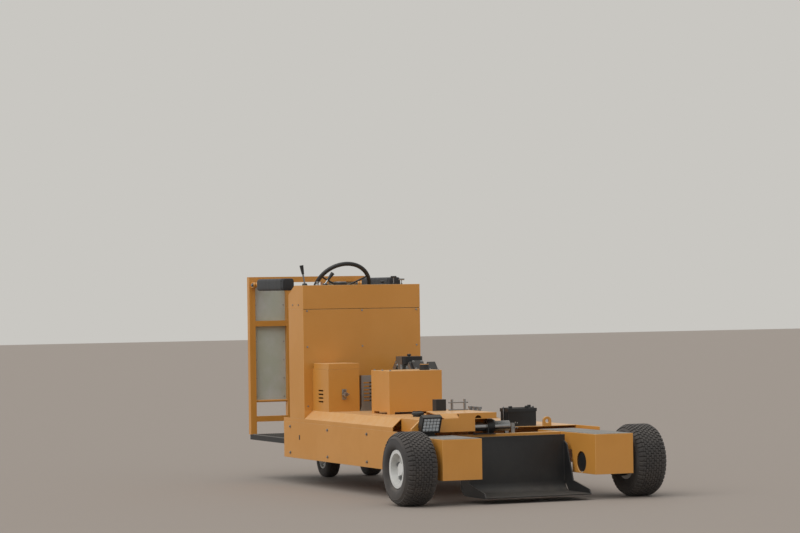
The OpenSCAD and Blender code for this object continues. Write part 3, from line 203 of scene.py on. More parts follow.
@dataclass(frozen=True)
class Finish:
    """A surface finish: base colour in two tones, grain, scuffs, settled dust with painted top light, and low
    grime.

    Lengths are millimetres on the real machine.
    """

    name: str
    colour: str
    second: str
    roughness: float
    metallic: float = 0.0
    patch_mm: float = 160.0
    grain_mm: float = 1.6
    grain_height_mm: float = 0.03
    dust_and_top_light: float = 0.35
    dust_and_top_light_colour: str = "#CDBFA8"
    grime: float = 0.25
    grime_colour: str = "#5B4C3A"
    grime_top_mm: float = 430.0
    scuff: float = 0.0
    scuff_colour: str = "#8A8781"
    scuff_mm: float = 26.0
    coat: float = 0.0
    sheen: float = 0.0

    def relief(self, tree: Tree, place: Socket) -> Socket:
        """Returns the height of the surface's grain, from 0 to 1."""
        size = {"Scale": 1 / (self.grain_mm * MM), "Detail": 2.0, "Roughness": 0.55}
        return add_node(tree, "ShaderNodeTexNoise", SOLID_NOISE, size, {"Vector": place}).outputs[0]

    def tint(self, tree: Tree, place: Socket, colour: Socket) -> Socket:
        """Returns the colour with what a special finish adds to it. The plain one adds nothing."""
        return colour

    def scuffed(self, tree: Tree, place: Socket, colour: Socket) -> Socket:
        """Returns the colour with fine scrapes over it."""
        scrapes = Patches(self.scuff_mm, 8.0, 0.72, 0.60, 0.68).cover(tree, place, 0.0, self.scuff)
        return add_node(tree, "ShaderNodeMix", COLOUR_MIX, {7: linear(self.scuff_colour)},
                        {0: scrapes, 6: colour}).outputs[2]

    def grimed(self, tree: Tree, place: Socket, colour: Socket) -> Socket:
        """Lays grime over the colour, thickest near the ground.

        Args:
            tree: The material's tree.
            place: Gives the place on the piece.
            colour: The colour under the grime.

        Returns:
            The colour with its grime.
        """
        height = add_node(tree, "ShaderNodeSeparateXYZ", links={0: place}).outputs[2]
        low = add_node(tree, "ShaderNodeMapRange", SMOOTH_STEP,
                       {1: GRIME_BASE, 2: self.grime_top_mm * MM, 3: 1.0, 4: 0.0}, {0: height}).outputs[0]
        spread = GRIME_PATCHES.cover(tree, place, GRIME_FLOOR * self.grime, self.grime)
        dirt = add_node(tree, "ShaderNodeMath", PRODUCT, links={0: low, 1: spread}).outputs[0]
        return add_node(tree, "ShaderNodeMix", COLOUR_MIX, {7: linear(self.grime_colour)},
                        {0: dirt, 6: colour}).outputs[2]

    def settled_dust_and_top_light(self, tree: Tree, place: Socket) -> Socket:
        """Adds the dust that settles on what faces up, and painted top light that makes up-facing faces
        lighter.

        Args:
            tree: The material's tree.
            place: Gives the place on the piece.

        Returns:
            How much the dust covers at each place.
        """
        normal = add_node(tree, "ShaderNodeNewGeometry").outputs["Normal"]
        up = add_node(tree, "ShaderNodeSeparateXYZ", links={0: normal}).outputs[2]
        # Painted top light: up-facing faces take the pale dust colour, partly real dust and partly painted
        # light from above
        flat = add_node(tree, "ShaderNodeMapRange", SMOOTH_STEP, {1: 0.25, 2: 0.95, 3: 0.0, 4: 1.0},
                        {0: up}).outputs[0]
        film = DUST_AND_TOP_LIGHT_PATCHES.cover(tree, place, DUST_AND_TOP_LIGHT_FLOOR * self.dust_and_top_light, self.dust_and_top_light)
        return add_node(tree, "ShaderNodeMath", PRODUCT, links={0: flat, 1: film}).outputs[0]

    def build(self) -> bpy.types.Material:
        """Builds the material.

        Returns:
            The material, made once for each name.
        """
        known = bpy.data.materials.get(self.name)
        if known is not None:
            return known
        material = bpy.data.materials.new(self.name)
        material.use_nodes = True
        tree = material.node_tree
        tree.nodes.clear()
        place = add_node(tree, "ShaderNodeTexCoord").outputs["Object"]
        blotch = add_node(tree, "ShaderNodeTexNoise", SOLID_NOISE,
                          {"Scale": 1 / (self.patch_mm * MM), "Detail": 4.0, "Roughness": 0.6},
                          {"Vector": place}).outputs[0]
        tone = add_node(tree, "ShaderNodeMapRange", SMOOTH_STEP, {1: 0.38, 2: 0.66, 3: 0.0, 4: 1.0},
                        {0: blotch}).outputs[0]
        base = add_node(tree, "ShaderNodeMix", COLOUR_MIX,
                        {6: linear(self.colour), 7: linear(self.second)}, {0: tone}).outputs[2]
        colour = self.tint(tree, place, base)
        rough = add_node(tree, "ShaderNodeMath", CLAMPED_SUM,
                         {1: ROUGHNESS_SPREAD, 2: self.roughness - ROUGHNESS_SPREAD / 2},
                         {0: blotch}).outputs[0]
        if self.scuff > 0:
            colour = self.scuffed(tree, place, colour)
        if self.grime > 0:
            colour = self.grimed(tree, place, colour)
        # Dust with painted top light: a pale colour mixed over the faces that look up
        if self.dust_and_top_light > 0:
            dust_and_top_light = self.settled_dust_and_top_light(tree, place)
            colour = add_node(tree, "ShaderNodeMix", COLOUR_MIX, {7: linear(self.dust_and_top_light_colour)},
                              {0: dust_and_top_light, 6: colour}).outputs[2]
            rough = add_node(tree, "ShaderNodeMath", CLAMPED_SUM, {1: DUST_ROUGHNESS},
                             {0: dust_and_top_light, 2: rough}).outputs[0]
        bump = add_node(tree, "ShaderNodeBump", None,
                        {"Strength": 0.6, "Distance": self.grain_height_mm * MM},
                        {"Height": self.relief(tree, place)})
        shader = add_node(tree, "ShaderNodeBsdfPrincipled", None,
                          {"Metallic": self.metallic, "Coat Weight": self.coat, "Coat Roughness": 0.12,
                           "Sheen Weight": self.sheen, "Sheen Roughness": 0.6},
                          {"Base Color": colour, "Roughness": rough, "Normal": bump.outputs[0]})
        add_node(tree, "ShaderNodeOutputMaterial", links={"Surface": shader.outputs[0]})
        return material


@dataclass(frozen=True)
class CellFinish(Finish):
    """A finish with fine cells, as closed foam bubbles or stuck-on grit, which darken points."""

    cell_mm: float = 3.0
    cell_colour: str = "#15161A"
    cell_share: float = 0.5

    def relief(self, tree: Tree, place: Socket) -> Socket:
        """Returns the height of the cells."""
        return add_node(tree, "ShaderNodeTexVoronoi", None, {"Scale": 1 / (self.cell_mm * MM)},
                        {"Vector": place}).outputs[0]

    def tint(self, tree: Tree, place: Socket, colour: Socket) -> Socket:
        """Returns the colour with the cells' own colour over the middle of each cell."""
        cells = add_node(tree, "ShaderNodeMapRange", SMOOTH_STEP,
                         {1: 0.05, 2: 0.45, 3: self.cell_share, 4: 0.0},
                         {0: self.relief(tree, place)}).outputs[0]
        return add_node(tree, "ShaderNodeMix", COLOUR_MIX, {7: linear(self.cell_colour)},
                        {0: cells, 6: colour}).outputs[2]


# Orange-yellow two-pack enamel over folded steel: glossy once, now dull, chalky where it faces up, partly
# dust and partly painted top light
ENAMEL = Finish("yellow_machine_enamel", "#CF9040", "#CB8C3B", 0.40, patch_mm=420, dust_and_top_light=0.42,
                dust_and_top_light_colour="#DCC6A4", grime=0.16, grime_colour="#7A6248", grime_top_mm=330,
                scuff=0.05, scuff_colour="#D9B684", coat=0.15)
# The same enamel where hands and boots rub it along folded edges: thinner, paler, a little polished
RUBBED_ENAMEL = replace(ENAMEL, name="rubbed_enamel_edge", colour="#DBA763", second="#D39C55",
                        roughness=0.34)
# Satin black paint on welded steel: dull, grey with dust, bare grey where it is scraped
BLACK_STEEL = Finish("satin_black_steel", "#1C1D1F", "#232425", 0.46, dust_and_top_light=0.22, dust_and_top_light_colour="#8F877C",
                     grime=0.2, grime_colour="#433C34", scuff=0.2, scuff_colour="#45423F")
# Black paint worn through to steel along its edges
WORN_BLACK = replace(BLACK_STEEL, name="worn_black_edge", colour="#3A3836", second="#4C4945", roughness=0.42)
# Injection-moulded black nylon and ABS: even, fine spark-eroded grain, soft highlight
MOULDED_BLACK = Finish("moulded_black_plastic", "#1F2021", "#262728", 0.46, grain_mm=0.9,
                       grain_height_mm=0.04, dust_and_top_light=0.25, dust_and_top_light_colour="#8B8780", grime=0.0)
# Vulcanised tyre rubber: matt, brown-grey dust in the hollows and on the sidewall
TYRE = Finish("dusty_tyre_rubber", "#2B2827", "#353130", 0.78, grain_mm=2.2, grain_height_mm=0.08,
              dust_and_top_light=0.4, dust_and_top_light_colour="#80776C", grime=0.45, grime_colour="#5E554B", grime_top_mm=420,
              sheen=0.1)
# White baked enamel on a pressed wheel: clean gloss with brake-brown dirt low down
WHEEL_ENAMEL = Finish("white_wheel_enamel", "#E2E2DF", "#D8D8D4", 0.34, dust_and_top_light=0.2, grime=0.25,
                      grime_colour="#7B7468", scuff=0.12, coat=0.2)
# Closed-cell foam sleeve: matt black, no highlight; its tiny bubbles drawn 3.2 mm so that they show
SLEEVE_FOAM = CellFinish("closed_cell_foam", "#1D1F22", "#25272A", 0.8, grain_mm=2.4,
                         grain_height_mm=0.25, dust_and_top_light=0.16, dust_and_top_light_colour="#66666A", grime=0.0, sheen=0.12,
                         cell_mm=3.2, cell_colour="#202226", cell_share=0.55)
# Zinc-plated and turned steel: bright grey with a hazy highlight
PLATED_STEEL = Finish("zinc_plated_steel", "#A9ABAC", "#94979A", 0.34, metallic=1.0, dust_and_top_light=0.3,
                      dust_and_top_light_colour="#8E8578", grime=0.25, grain_mm=3.0, grain_height_mm=0.01)
# Hard-chromed and ground cylinder rod: near mirror
CHROME = Finish("hard_chrome", "#C9CCCE", "#BFC3C6", 0.14, metallic=1.0, dust_and_top_light=0.12, grime=0.12,
                grain_height_mm=0.002)
# Sand-cast and sheet aluminium: pale grey, soft highlight, sandy grain
CAST_ALUMINIUM = Finish("cast_aluminium", "#9FA1A0", "#8A8C8B", 0.48, metallic=0.85, dust_and_top_light=0.3,
                        dust_and_top_light_colour="#8E8578", grime=0.15, grain_mm=1.4, grain_height_mm=0.09)
# Sun-faded white plastic sheet: smooth, grey with road film; its faint green tint is painted green bounce
# light
SHEET_PAINTED_GREEN_BOUNCE = Finish("faded_white_plastic_painted_green_bounce", "#B9C0B0", "#C7CBC5", 0.46, patch_mm=260, dust_and_top_light=0.1,
                     grime=0.35, grime_colour="#96928C", grime_top_mm=1100, grain_mm=6,
                     grain_height_mm=0.05)
# Silicon-carbide grit on a glued sheet: grey, sparkly, coarse; grains drawn 3 mm so that they show
GRIT = CellFinish("grit_sheet", "#7C7A76", "#8B8883", 0.85, grain_mm=2.0, grain_height_mm=0.5,
                  dust_and_top_light=0.35, dust_and_top_light_colour="#A79F93", grime=0.0, cell_mm=3.0, cell_colour="#4D4B48",
                  cell_share=0.7)
# Clear polycarbonate over white reflectors, seen as one milky surface
LAMP_LENS = Finish("frosted_lamp_lens", "#C8CDD0", "#B9BFC4", 0.12, patch_mm=14, dust_and_top_light=0.15, grime=0.0,
                   coat=0.6)
# Ribbed styrene-rubber matting: matt charcoal, grey with foot dust between its ribs
MAT_RUBBER = Finish("ribbed_rubber_mat", "#232323", "#2B2B2A", 0.74, grain_mm=2.0, grain_height_mm=0.06,
                    dust_and_top_light=0.4, dust_and_top_light_colour="#857D72", grime=0.1)
# Mild steel browned and blued by exhaust heat, with a bloom of rust: dull, warm
HEATED_STEEL = Finish("heat_browned_steel", "#4A3A31", "#5D5149", 0.52, metallic=0.6, patch_mm=60,
                      dust_and_top_light=0.25, grime=0.1, scuff=0.45, scuff_colour="#6E4A34", scuff_mm=18,
                      grain_mm=1.6, grain_height_mm=0.06)
# Glazed alumina insulator of a spark plug: white, glossy
PLUG_CERAMIC = Finish("glazed_ceramic", "#E4E1DA", "#DBD8D0", 0.12, patch_mm=20, dust_and_top_light=0.1, grime=0.0,
                      coat=0.5)
# White printed dial under glass, without figures: glossy, even
DIAL_FACE = Finish("white_dial", "#D6D8D4", "#CFD1CD", 0.16, patch_mm=60, dust_and_top_light=0.08, grime=0.0, coat=0.7)


def smooth(mesh: bpy.types.Mesh, angle: float = SMOOTH_ANGLE) -> None:
    """Shades a mesh smooth and keeps edges sharper than an angle crisp."""
    mesh.shade_smooth()
    mesh.set_sharp_from_angle(angle=angle)


def softened(node: str, finish: Finish, edge: Finish, width_mm: float, slot: Slot,
             others: Sequence[Finish] = (), zone: Callable[[Vector], int] | None = None) -> bpy.types.Object:
    """Shows a solid through a merged copy whose edges are rounded.

    Args:
        node: The solid's name.
        finish: The finish of its faces.
        edge: The finish of its rounded edges.
        width_mm: Width of the rounding.
        slot: The record's material slot; not used.
        others: Further finishes, for a solid whose areas differ.
        zone: Gives a face's finish from its middle: 0 for the first, 2 and up for the others.

    Returns:
        The copy, which stands for the solid.
    """
    bm = bmesh.new()
    bm.from_mesh(frame["nodes"][node].data)
    bmesh.ops.remove_doubles(bm, verts=bm.verts[:], dist=MERGE)
    bmesh.ops.dissolve_limit(bm, angle_limit=FLAT_ANGLE, use_dissolve_boundaries=False,
                             verts=bm.verts[:], edges=bm.edges[:])
    mesh = bpy.data.meshes.new(f"{node}_shell")
    bm.to_mesh(mesh)
    bm.free()
    piece = bpy.data.objects.new(mesh.name, mesh)
    bpy.context.scene.collection.objects.link(piece)
    for each in (finish, edge, *others):
        mesh.materials.append(each.build())
    for face in mesh.polygons:
        face.material_index = zone(face.center) if zone else 0
    smooth(mesh)
    bevel = piece.modifiers.new("rounded_edges", "BEVEL")
    bevel.width = width_mm * MM
    bevel.segments = 2
    bevel.limit_method = "ANGLE"
    bevel.angle_limit = SMOOTH_ANGLE
    bevel.harden_normals = True
    bevel.material = -1 if zone else 1
    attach(piece, NODE_BODY[node])
    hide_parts(node)
    LOG.info("%s: %d faces", piece.name, len(mesh.polygons))
    return piece


@dataclass(frozen=True)
class HexHead:
    """Shares of its width that a hexagon head and its washer have."""

    washer_thickness: float = 0.14
    washer_width: float = 1.75
    height: float = 0.55
    corners: float = 1.12
    chamfer: float = 0.07


HEX_HEAD = HexHead()
# How far a washer and a head are sunk, so that no gap shows under them
WASHER_SINK = 0.0005
HEAD_SINK = 0.0004


@dataclass
class Maker:
    """Collects shapes for one new piece in a bmesh, in metres."""

    name: str
    body: str
    finishes: Sequence[Finish]
    slot: Slot
    bm: bmesh.types.BMesh = field(default_factory=bmesh.new)

    def mark(self, verts: Iterable[bmesh.types.BMVert], index: int) -> None:
        """Gives the faces of some vertices one of the piece's finishes."""
        for face in {f for v in verts for f in v.link_faces}:
            face.material_index = index

    def soften(self, verts: Sequence[bmesh.types.BMVert], width: float, segments: int = 2,
               angle: float = 0.5) -> None:
        """Rounds the sharp edges between some vertices.

        Args:
            verts: The vertices of one shape.
            width: Width of the rounding.
            segments: Steps in the rounding.
            angle: Edges that turn by less than this stay as they are, in radians.
        """
        chosen = set(verts)
        edges = [e for e in {e for v in chosen for e in v.link_edges}
                 if e.is_manifold and e.calc_face_angle(0.0) > angle]
        bmesh.ops.bevel(self.bm, geom=edges, offset=width, offset_type="OFFSET", affect="EDGES",
                        segments=segments, profile=0.5, material=-1, clamp_overlap=True)

    def box(self, matrix: Matrix, round_by: float = 0.0, index: int = 0, segments: int = 2) -> None:
        """Adds a block that a matrix makes from a unit cube.

        Args:
            matrix: Stretches, turns and places the cube.
            round_by: Width of its rounded edges.
            index: Which of the piece's finishes it has.
            segments: Steps in the rounding.
        """
        verts = bmesh.ops.create_cube(self.bm, size=1, matrix=matrix)["verts"]
        self.mark(verts, index)
        if round_by:
            self.soften(verts, round_by, segments)

    def block(self, low: Sequence[float], high: Sequence[float], round_by: float = 0.0,
              index: int = 0) -> None:
        """Adds a block between two corners.

        Args:
            low: Lowest corner.
            high: Highest corner.
            round_by: Width of its rounded edges.
            index: Which of the piece's finishes it has.
        """
        middle = (Vector(low) + Vector(high)) / 2
        size = Vector(high) - Vector(low)
        self.box(Matrix.Translation(middle) @ Matrix.Diagonal((*size, 1)), round_by, index)

    def bar(self, start: Sequence[float], end: Sequence[float], diameter: float, segments: int = 20,
            round_by: float = 0.0, index: int = 0, end_diameter: float | None = None) -> None:
        """Adds a round bar or cone between two points.

        Args:
            start: First end.
            end: Second end.
            diameter: Its diameter at the first end.
            segments: Faces around it.
            round_by: Width of its rounded ends.
            index: Which of the piece's finishes it has.
            end_diameter: Its diameter at the second end, or None for a straight bar.
        """
        first, second = Vector(start), Vector(end)
        along = second - first
        turn = along.to_track_quat("Z", "Y").to_matrix().to_4x4()
        far = diameter if end_diameter is None else end_diameter
        verts = bmesh.ops.create_cone(self.bm, cap_ends=True, segments=segments, radius1=diameter / 2,
                                      radius2=far / 2, depth=along.length,
                                      matrix=Matrix.Translation((first + second) / 2) @ turn)["verts"]
        self.mark(verts, index)
        if round_by:
            self.soften(verts, round_by, 2, 0.8)

    def lathe(self, profile: Profile, centre: Vector, axis: Vector, steps: int = 64,
              index: int = 0) -> None:
        """Turns a closed profile about an axis.

        Args:
            profile: Points as (radius, distance along the axis), where the last joins the first.
            centre: Where the axis passes.
            axis: Its direction.
            steps: Faces around it.
            index: Which of the piece's finishes it has.
        """
        side = axis.orthogonal().normalized()
        verts = [self.bm.verts.new(centre + side * r + axis * a) for r, a in profile]
        edges = [self.bm.edges.new(pair) for pair in zip(verts, verts[1:] + verts[:1])]
        before = set(self.bm.faces)
        bmesh.ops.spin(self.bm, geom=verts + edges, cent=centre, axis=axis, angle=FULL_TURN, steps=steps,
                       use_merge=True, use_duplicate=False)
        faces = [f for f in self.bm.faces if f not in before]
        for face in faces:
            face.material_index = index
        touched = list({v for f in faces for v in f.verts})
        bmesh.ops.remove_doubles(self.bm, verts=touched, dist=POLE_MERGE)
        bmesh.ops.recalc_face_normals(self.bm, faces=[f for f in self.bm.faces if f not in before])

    def tube(self, points: Sequence[Sequence[float]], diameter: float, bend: float, steps: int = 6,
             segments: int = 14, index: int = 0) -> None:
        """Adds a bent round tube along straight runs joined by arcs.

        Args:
            points: The ends and corners of the runs.
            diameter: The tube's diameter.
            bend: Length that each corner's arc takes from its runs.
            steps: Rings in each arc.
            segments: Faces around it.
            index: Which of the piece's finishes it has.
        """
        corners = [Vector(point) for point in points]
        path = [corners[0]]
        for before, corner, after in zip(corners, corners[1:], corners[2:]):
            start = corner + (before - corner).normalized() * bend
            end = corner + (after - corner).normalized() * bend
            for step in range(steps + 1):
                share = step / steps
                path.append(start.lerp(corner, share).lerp(corner.lerp(end, share), share))
        path.append(corners[-1])
        turn = (path[1] - path[0]).to_track_quat("Z", "Y")
        rings = []
        for place, point in enumerate(path):
            along = path[min(place + 1, len(path) - 1)] - path[max(place - 1, 0)]
            turn = (turn @ Vector((0, 0, 1))).rotation_difference(along) @ turn
            matrix = Matrix.Translation(point) @ turn.to_matrix().to_4x4()
            ring = bmesh.ops.create_circle(self.bm, cap_ends=False, segments=segments,
                                           radius=diameter / 2, matrix=matrix)["verts"]
            rings.append({edge for vert in ring for edge in vert.link_edges})
        faces = []
        for first, second in zip(rings, rings[1:]):
            faces += bmesh.ops.bridge_loops(self.bm, edges=list(first | second))["faces"]
        for ring in (rings[0], rings[-1]):
            faces += bmesh.ops.contextual_create(self.bm, geom=list(ring))["faces"]
        for face in faces:
            face.material_index = index
        bmesh.ops.recalc_face_normals(self.bm, faces=faces)

    def bolt(self, at: Sequence[float], axis: Vector, across: float = 0.013, index: int = 0) -> None:
        """Adds a hexagon head on a washer, standing on a surface.

        Args:
            at: The point on the surface.
            axis: The surface's outward direction.
            across: Width of the head.
            index: Which of the piece's finishes it has.
        """
        point = Vector(at)
        lift = across * HEX_HEAD.washer_thickness
        self.bar(point - axis * WASHER_SINK, point + axis * lift, across * HEX_HEAD.washer_width,
                 segments=16, index=index)
        self.bar(point + axis * (lift - HEAD_SINK), point + axis * (lift + across * HEX_HEAD.height),
                 across * HEX_HEAD.corners, segments=6, round_by=across * HEX_HEAD.chamfer, index=index)

    def done(self, stands_for: Sequence[str] = (), angle: float = SMOOTH_ANGLE) -> bpy.types.Object:
        """Makes the object.

        Args:
            stands_for: Solids that the piece replaces.
            angle: Edges sharper than this stay crisp.

        Returns:
            The finished piece, riding on its body.
        """
        mesh = bpy.data.meshes.new(self.name)
        self.bm.to_mesh(mesh)
        self.bm.free()
        piece = bpy.data.objects.new(self.name, mesh)
        bpy.context.scene.collection.objects.link(piece)
        for finish in self.finishes:
            mesh.materials.append(finish.build())
        smooth(mesh, angle)
        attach(piece, self.body)
        if stands_for:
            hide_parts(*stands_for)
        LOG.info("%s: %d faces", piece.name, len(mesh.polygons))
        return piece


@dataclass
class FrontWheel:
    """A driven front wheel: turf tyre with small staggered blocks, and a white pressed rim."""

    side: str
    blocks_round: int = 46
    rows: int = 8
    row_pitch: float = 0.0178
    tread_depth: float = 0.0065
    block_share: float = 0.7
    block_width: float = 0.0138
    block_height: float = 0.010
    block_seat: float = 0.005
    block_edge: float = 0.0012
    outer_row_drop: float = 0.0012
    lug_share: float = 0.9
    lug_size: tuple[float, float] = (0.030, 0.012)
    lug_inset: tuple[float, float] = (0.0265, 0.0165)
    lug_lean: float = math.radians(33)
    lug_edge: float = 0.0015
    flange_radius: float = 0.122
    disc_recess: float = 0.046
    nuts: int = 5
    nut_circle: float = 0.07
    nut_across: float = 0.021
    nut_turn: float = 0.3

    def place(self) -> tuple[Vector, float, float]:
        """Returns the wheel's middle, the tyre's radius and half its width."""
        low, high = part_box(f"tyre_{self.side}")
        return (low + high) / 2, (high.z - low.z) / 2, (high.y - low.y) / 2

    def carcass(self, radius: float, half: float) -> Profile:
        """Gives the tyre's section without its blocks, from bead over tread to bead.

        Args:
            radius: The tyre's radius.
            half: Half its width.

        Returns:
            Points as radius and distance along the axle.
        """
        base = radius - self.tread_depth
        right = [(self.flange_radius + 0.001, 0.072), (self.flange_radius + 0.003, 0.088),
                 (self.flange_radius + 0.014, half - 0.007), (0.150, half - 0.0015), (0.168, half),
                 (0.186, half - 0.004), (0.1885, half - 0.0025), (0.191, half - 0.005),
                 (0.206, half - 0.016), (base - 0.004, half - 0.034), (base, half - 0.052),
                 (base + 0.001, 0.03)]
        return right + [(r, -a) for r, a in reversed(right)]

    def tread(self, maker: Maker, centre: Vector, radius: float, half: float) -> None:
        """Adds the staggered tread blocks and the shoulder lugs of one pitch, then turns them round.

        Args:
            maker: Holds the tyre.
            centre: The wheel's middle.
            radius: The tyre's radius.
            half: Half its width.
        """
        pitch = FULL_TURN / self.blocks_round
        length = radius * pitch * self.block_share
        start = len(maker.bm.verts)
        for row in range(self.rows):
            across = (row - (self.rows - 1) / 2) * self.row_pitch
            turn = Matrix.Rotation(pitch * 0.5 * (row % 2), 4, "Y")
            drop = 0.0 if 0 < row < self.rows - 1 else self.outer_row_drop
            maker.box(Matrix.Translation(centre) @ turn
                      @ Matrix.Translation((0, across, radius - self.block_seat - drop))
                      @ Matrix.Diagonal((length, self.block_width, self.block_height, 1)),
                      self.block_edge, segments=1)
        inset, depth = self.lug_inset
        for sign in (-1, 1):
            lean = Matrix.Rotation(-sign * self.lug_lean, 4, "X")
            turn = Matrix.Rotation(pitch * (0.5 if sign > 0 else 0.0), 4, "Y")
            maker.box(Matrix.Translation(centre) @ turn
                      @ Matrix.Translation((0, sign * (half - inset), radius - depth)) @ lean
                      @ Matrix.Diagonal((length * self.lug_share, *self.lug_size, 1)),
                      self.lug_edge, segments=1)
        maker.bm.verts.ensure_lookup_table()
        block = maker.bm.verts[start:]
        edges = {e for v in block for e in v.link_edges}
        faces = {f for v in block for f in v.link_faces}
        bmesh.ops.spin(maker.bm, geom=[*block, *edges, *faces], cent=centre, axis=Axis.LEFT.vector,
                       angle=FULL_TURN, steps=self.blocks_round, use_merge=False, use_duplicate=True)
        bmesh.ops.delete(maker.bm, geom=[v for v in block if v.is_valid], context="VERTS")

    def build(self) -> None:
        """Builds the tyre, dresses the rim and adds its nuts."""
        centre, radius, half = self.place()
        body = NODE_BODY[f"tyre_{self.side}"]
        tyre = Maker(f"turf_tyre_{self.side}", body, [TYRE], Slot.TYRE)
        tyre.lathe(self.carcass(radius, half), centre, Axis.LEFT.vector, 96)
        self.tread(tyre, centre, radius, half)
        tyre.done([f"tyre_{self.side}"], math.radians(40))
        softened(f"rim_{self.side}", WHEEL_ENAMEL, WHEEL_ENAMEL, 1.5, Slot.RIM)
        out = Axis.LEFT.vector * (1.0 if self.side == "left" else -1.0)
        low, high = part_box(f"rim_{self.side}")
        face = centre + out * ((high.y - low.y) / 2 - self.disc_recess)
        nuts = Maker(f"wheel_nuts_{self.side}", body, [PLATED_STEEL], Slot.STEEL)
        for index in range(self.nuts):
            angle = FULL_TURN * index / self.nuts + self.nut_turn
            spot = face + Vector((math.cos(angle), 0, math.sin(angle))) * self.nut_circle
            nuts.bolt(spot, out, self.nut_across)
        nuts.done()


@dataclass
class PaddedArm:
    """A flip-up guard arm: a painted tube in a squared block of closed-cell foam, ribbed at its free end."""

    side: str
    seed: int
    bore: float = 0.0158
    bore_margin: float = 1.05
    half_width: float = 0.0425
    squareness: float = 4.5
    crown: float = 0.0014
    corner: float = 0.007
    corner_share: float = 0.3
    end_wall: float = 0.012
    stations: int = 30
    rib_starts: tuple[float, ...] = (0.020, 0.034, 0.048)
    rib_clear: float = 0.012
    rib_half: float = 0.004
    rib_floor: float = 0.002
    rib_depth: float = 0.0024

    def section(self, radius: float, length: float) -> Profile:
        """Gives the pad's profile, from the bore out and back.

        Args:
            radius: The pad's radius before it is squared.
            length: Its length.

        Returns:
            Points as radius and distance along the arm.
        """
        rand = random.Random(self.seed)
        last_rib = length - self.rib_starts[-1] - self.rib_clear
        outer = [(radius - self.crown * rand.random(),
                  self.corner + (last_rib - self.corner) * i / self.stations)
                 for i in range(self.stations + 1)]
        floor = radius - self.rib_depth
        for start in reversed(self.rib_starts):
            middle = length - start
            outer += [(radius, middle - self.rib_half), (floor, middle - self.rib_floor),
                      (floor, middle + self.rib_floor), (radius, middle + self.rib_half)]
        soft = self.corner * self.corner_share
        near = [(self.bore, 0.001), (radius - self.corner, 0.0), (radius - soft, soft)]
        far = [(radius, length - self.corner), (radius - soft, length - soft),
               (radius - self.corner, length), (0.0, length - 0.001), (0.0, length - self.end_wall),
               (self.bore, length - self.end_wall)]
        return near + outer + far

    def square_up(self, maker: Maker, axis_y: float, axis_z: float, radius: float) -> None:
        """Moves the round pad's skin out to a square with rounded corners.

        Args:
            maker: Holds the round pad.
            axis_y: Side position of the arm's axis.
            axis_z: Height of the arm's axis.
            radius: The pad's radius.
        """
        power = self.squareness
        for vert in maker.bm.verts:
            across, up = vert.co.y - axis_y, vert.co.z - axis_z
            far = math.hypot(across, up)
            if far <= self.bore * self.bore_margin:
                continue
            share = (abs(across / far) ** power + abs(up / far) ** power) ** (-1 / power)
            squared = share * self.half_width / radius
            blend = min(1.0, (far - self.bore) / (radius - self.bore))
            scale = 1.0 + (squared - 1.0) * blend
            vert.co.y = axis_y + across * scale
            vert.co.z = axis_z + up * scale

    def build(self) -> None:
        """Builds the pad and dresses the tube."""
        low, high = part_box(f"foam_{self.side}")
        radius, length = (high.z - low.z) / 2, high.x - low.x
        start = Vector((low.x, (low.y + high.y) / 2, (low.z + high.z) / 2))
        pad = Maker(f"foam_pad_{self.side}", NODE_BODY[f"foam_{self.side}"], [SLEEVE_FOAM], Slot.FOAM)
        pad.lathe(self.section(radius, length), start, Axis.FORWARD.vector)
        self.square_up(pad, start.y, start.z, radius)
        piece = pad.done([f"foam_{self.side}"], math.radians(50))
        softened(f"arm_{self.side}", ENAMEL, RUBBED_ENAMEL, 1.0, Slot.YELLOW)


@dataclass
class Shells:
    """Solids of one finish that keep their shape and get rounded edges."""

    nodes: Sequence[str]
    finish: Finish
    edge: Finish
    width_mm: float
    slot: Slot

    def build(self) -> None:
        """Dresses each solid."""
        for node in self.nodes:
            softened(node, self.finish, self.edge, self.width_mm, self.slot)


@dataclass
class ConsoleTrim:
    """Fasteners of the console: button heads along its front panel and top cover."""

    bolt_across: float = 0.0072
    side_inset: float = 0.029
    below_top: tuple[float, float] = (0.010, 0.256)
    above_foot: float = 0.03
    cover_spots: tuple[float, float] = (0.086, 0.194)
    cover_height: float = 0.029

    def build(self) -> None:
        """Builds the fasteners."""
        low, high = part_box("console_front")
        heights = [high.z - drop for drop in self.below_top] + [low.z + self.above_foot]
        trim = Maker("console_bolts", "chassis", [PLATED_STEEL], Slot.STEEL)
        for across in (low.y + self.side_inset, (low.y + high.y) / 2, high.y - self.side_inset):
            for height in heights:
                trim.bolt((high.x, across, height), Axis.FORWARD.vector, self.bolt_across)
        low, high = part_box("console_cover")
        height = low.z + self.cover_height
        for spot in self.cover_spots:
            trim.bolt((low.x + spot, low.y, height), -Axis.LEFT.vector, self.bolt_across)
            trim.bolt((low.x + spot, high.y, height), Axis.LEFT.vector, self.bolt_across)
        trim.done()


@dataclass
class ConsoleToe:
    """The folded toe that closes the console's right front corner above the deck's sloped shoulder."""

    corner: tuple[float, float] = (-0.602, -0.672)
    width: float = 0.072
    low_z: float = 0.459
    high_z: float = 0.517
    sheet: float = 0.005
    behind: float = 0.0004
    inside: float = 0.0005

    def build(self) -> None:
        """Builds the toe plate in the console's front plane."""
        x, y = self.corner
        toe = Maker("console_toe", "chassis", [ENAMEL], Slot.YELLOW)
        toe.block((x - self.sheet, y + self.inside, self.low_z),
                  (x - self.behind, y + self.width, self.high_z), round_by=0.0008)
        toe.done()


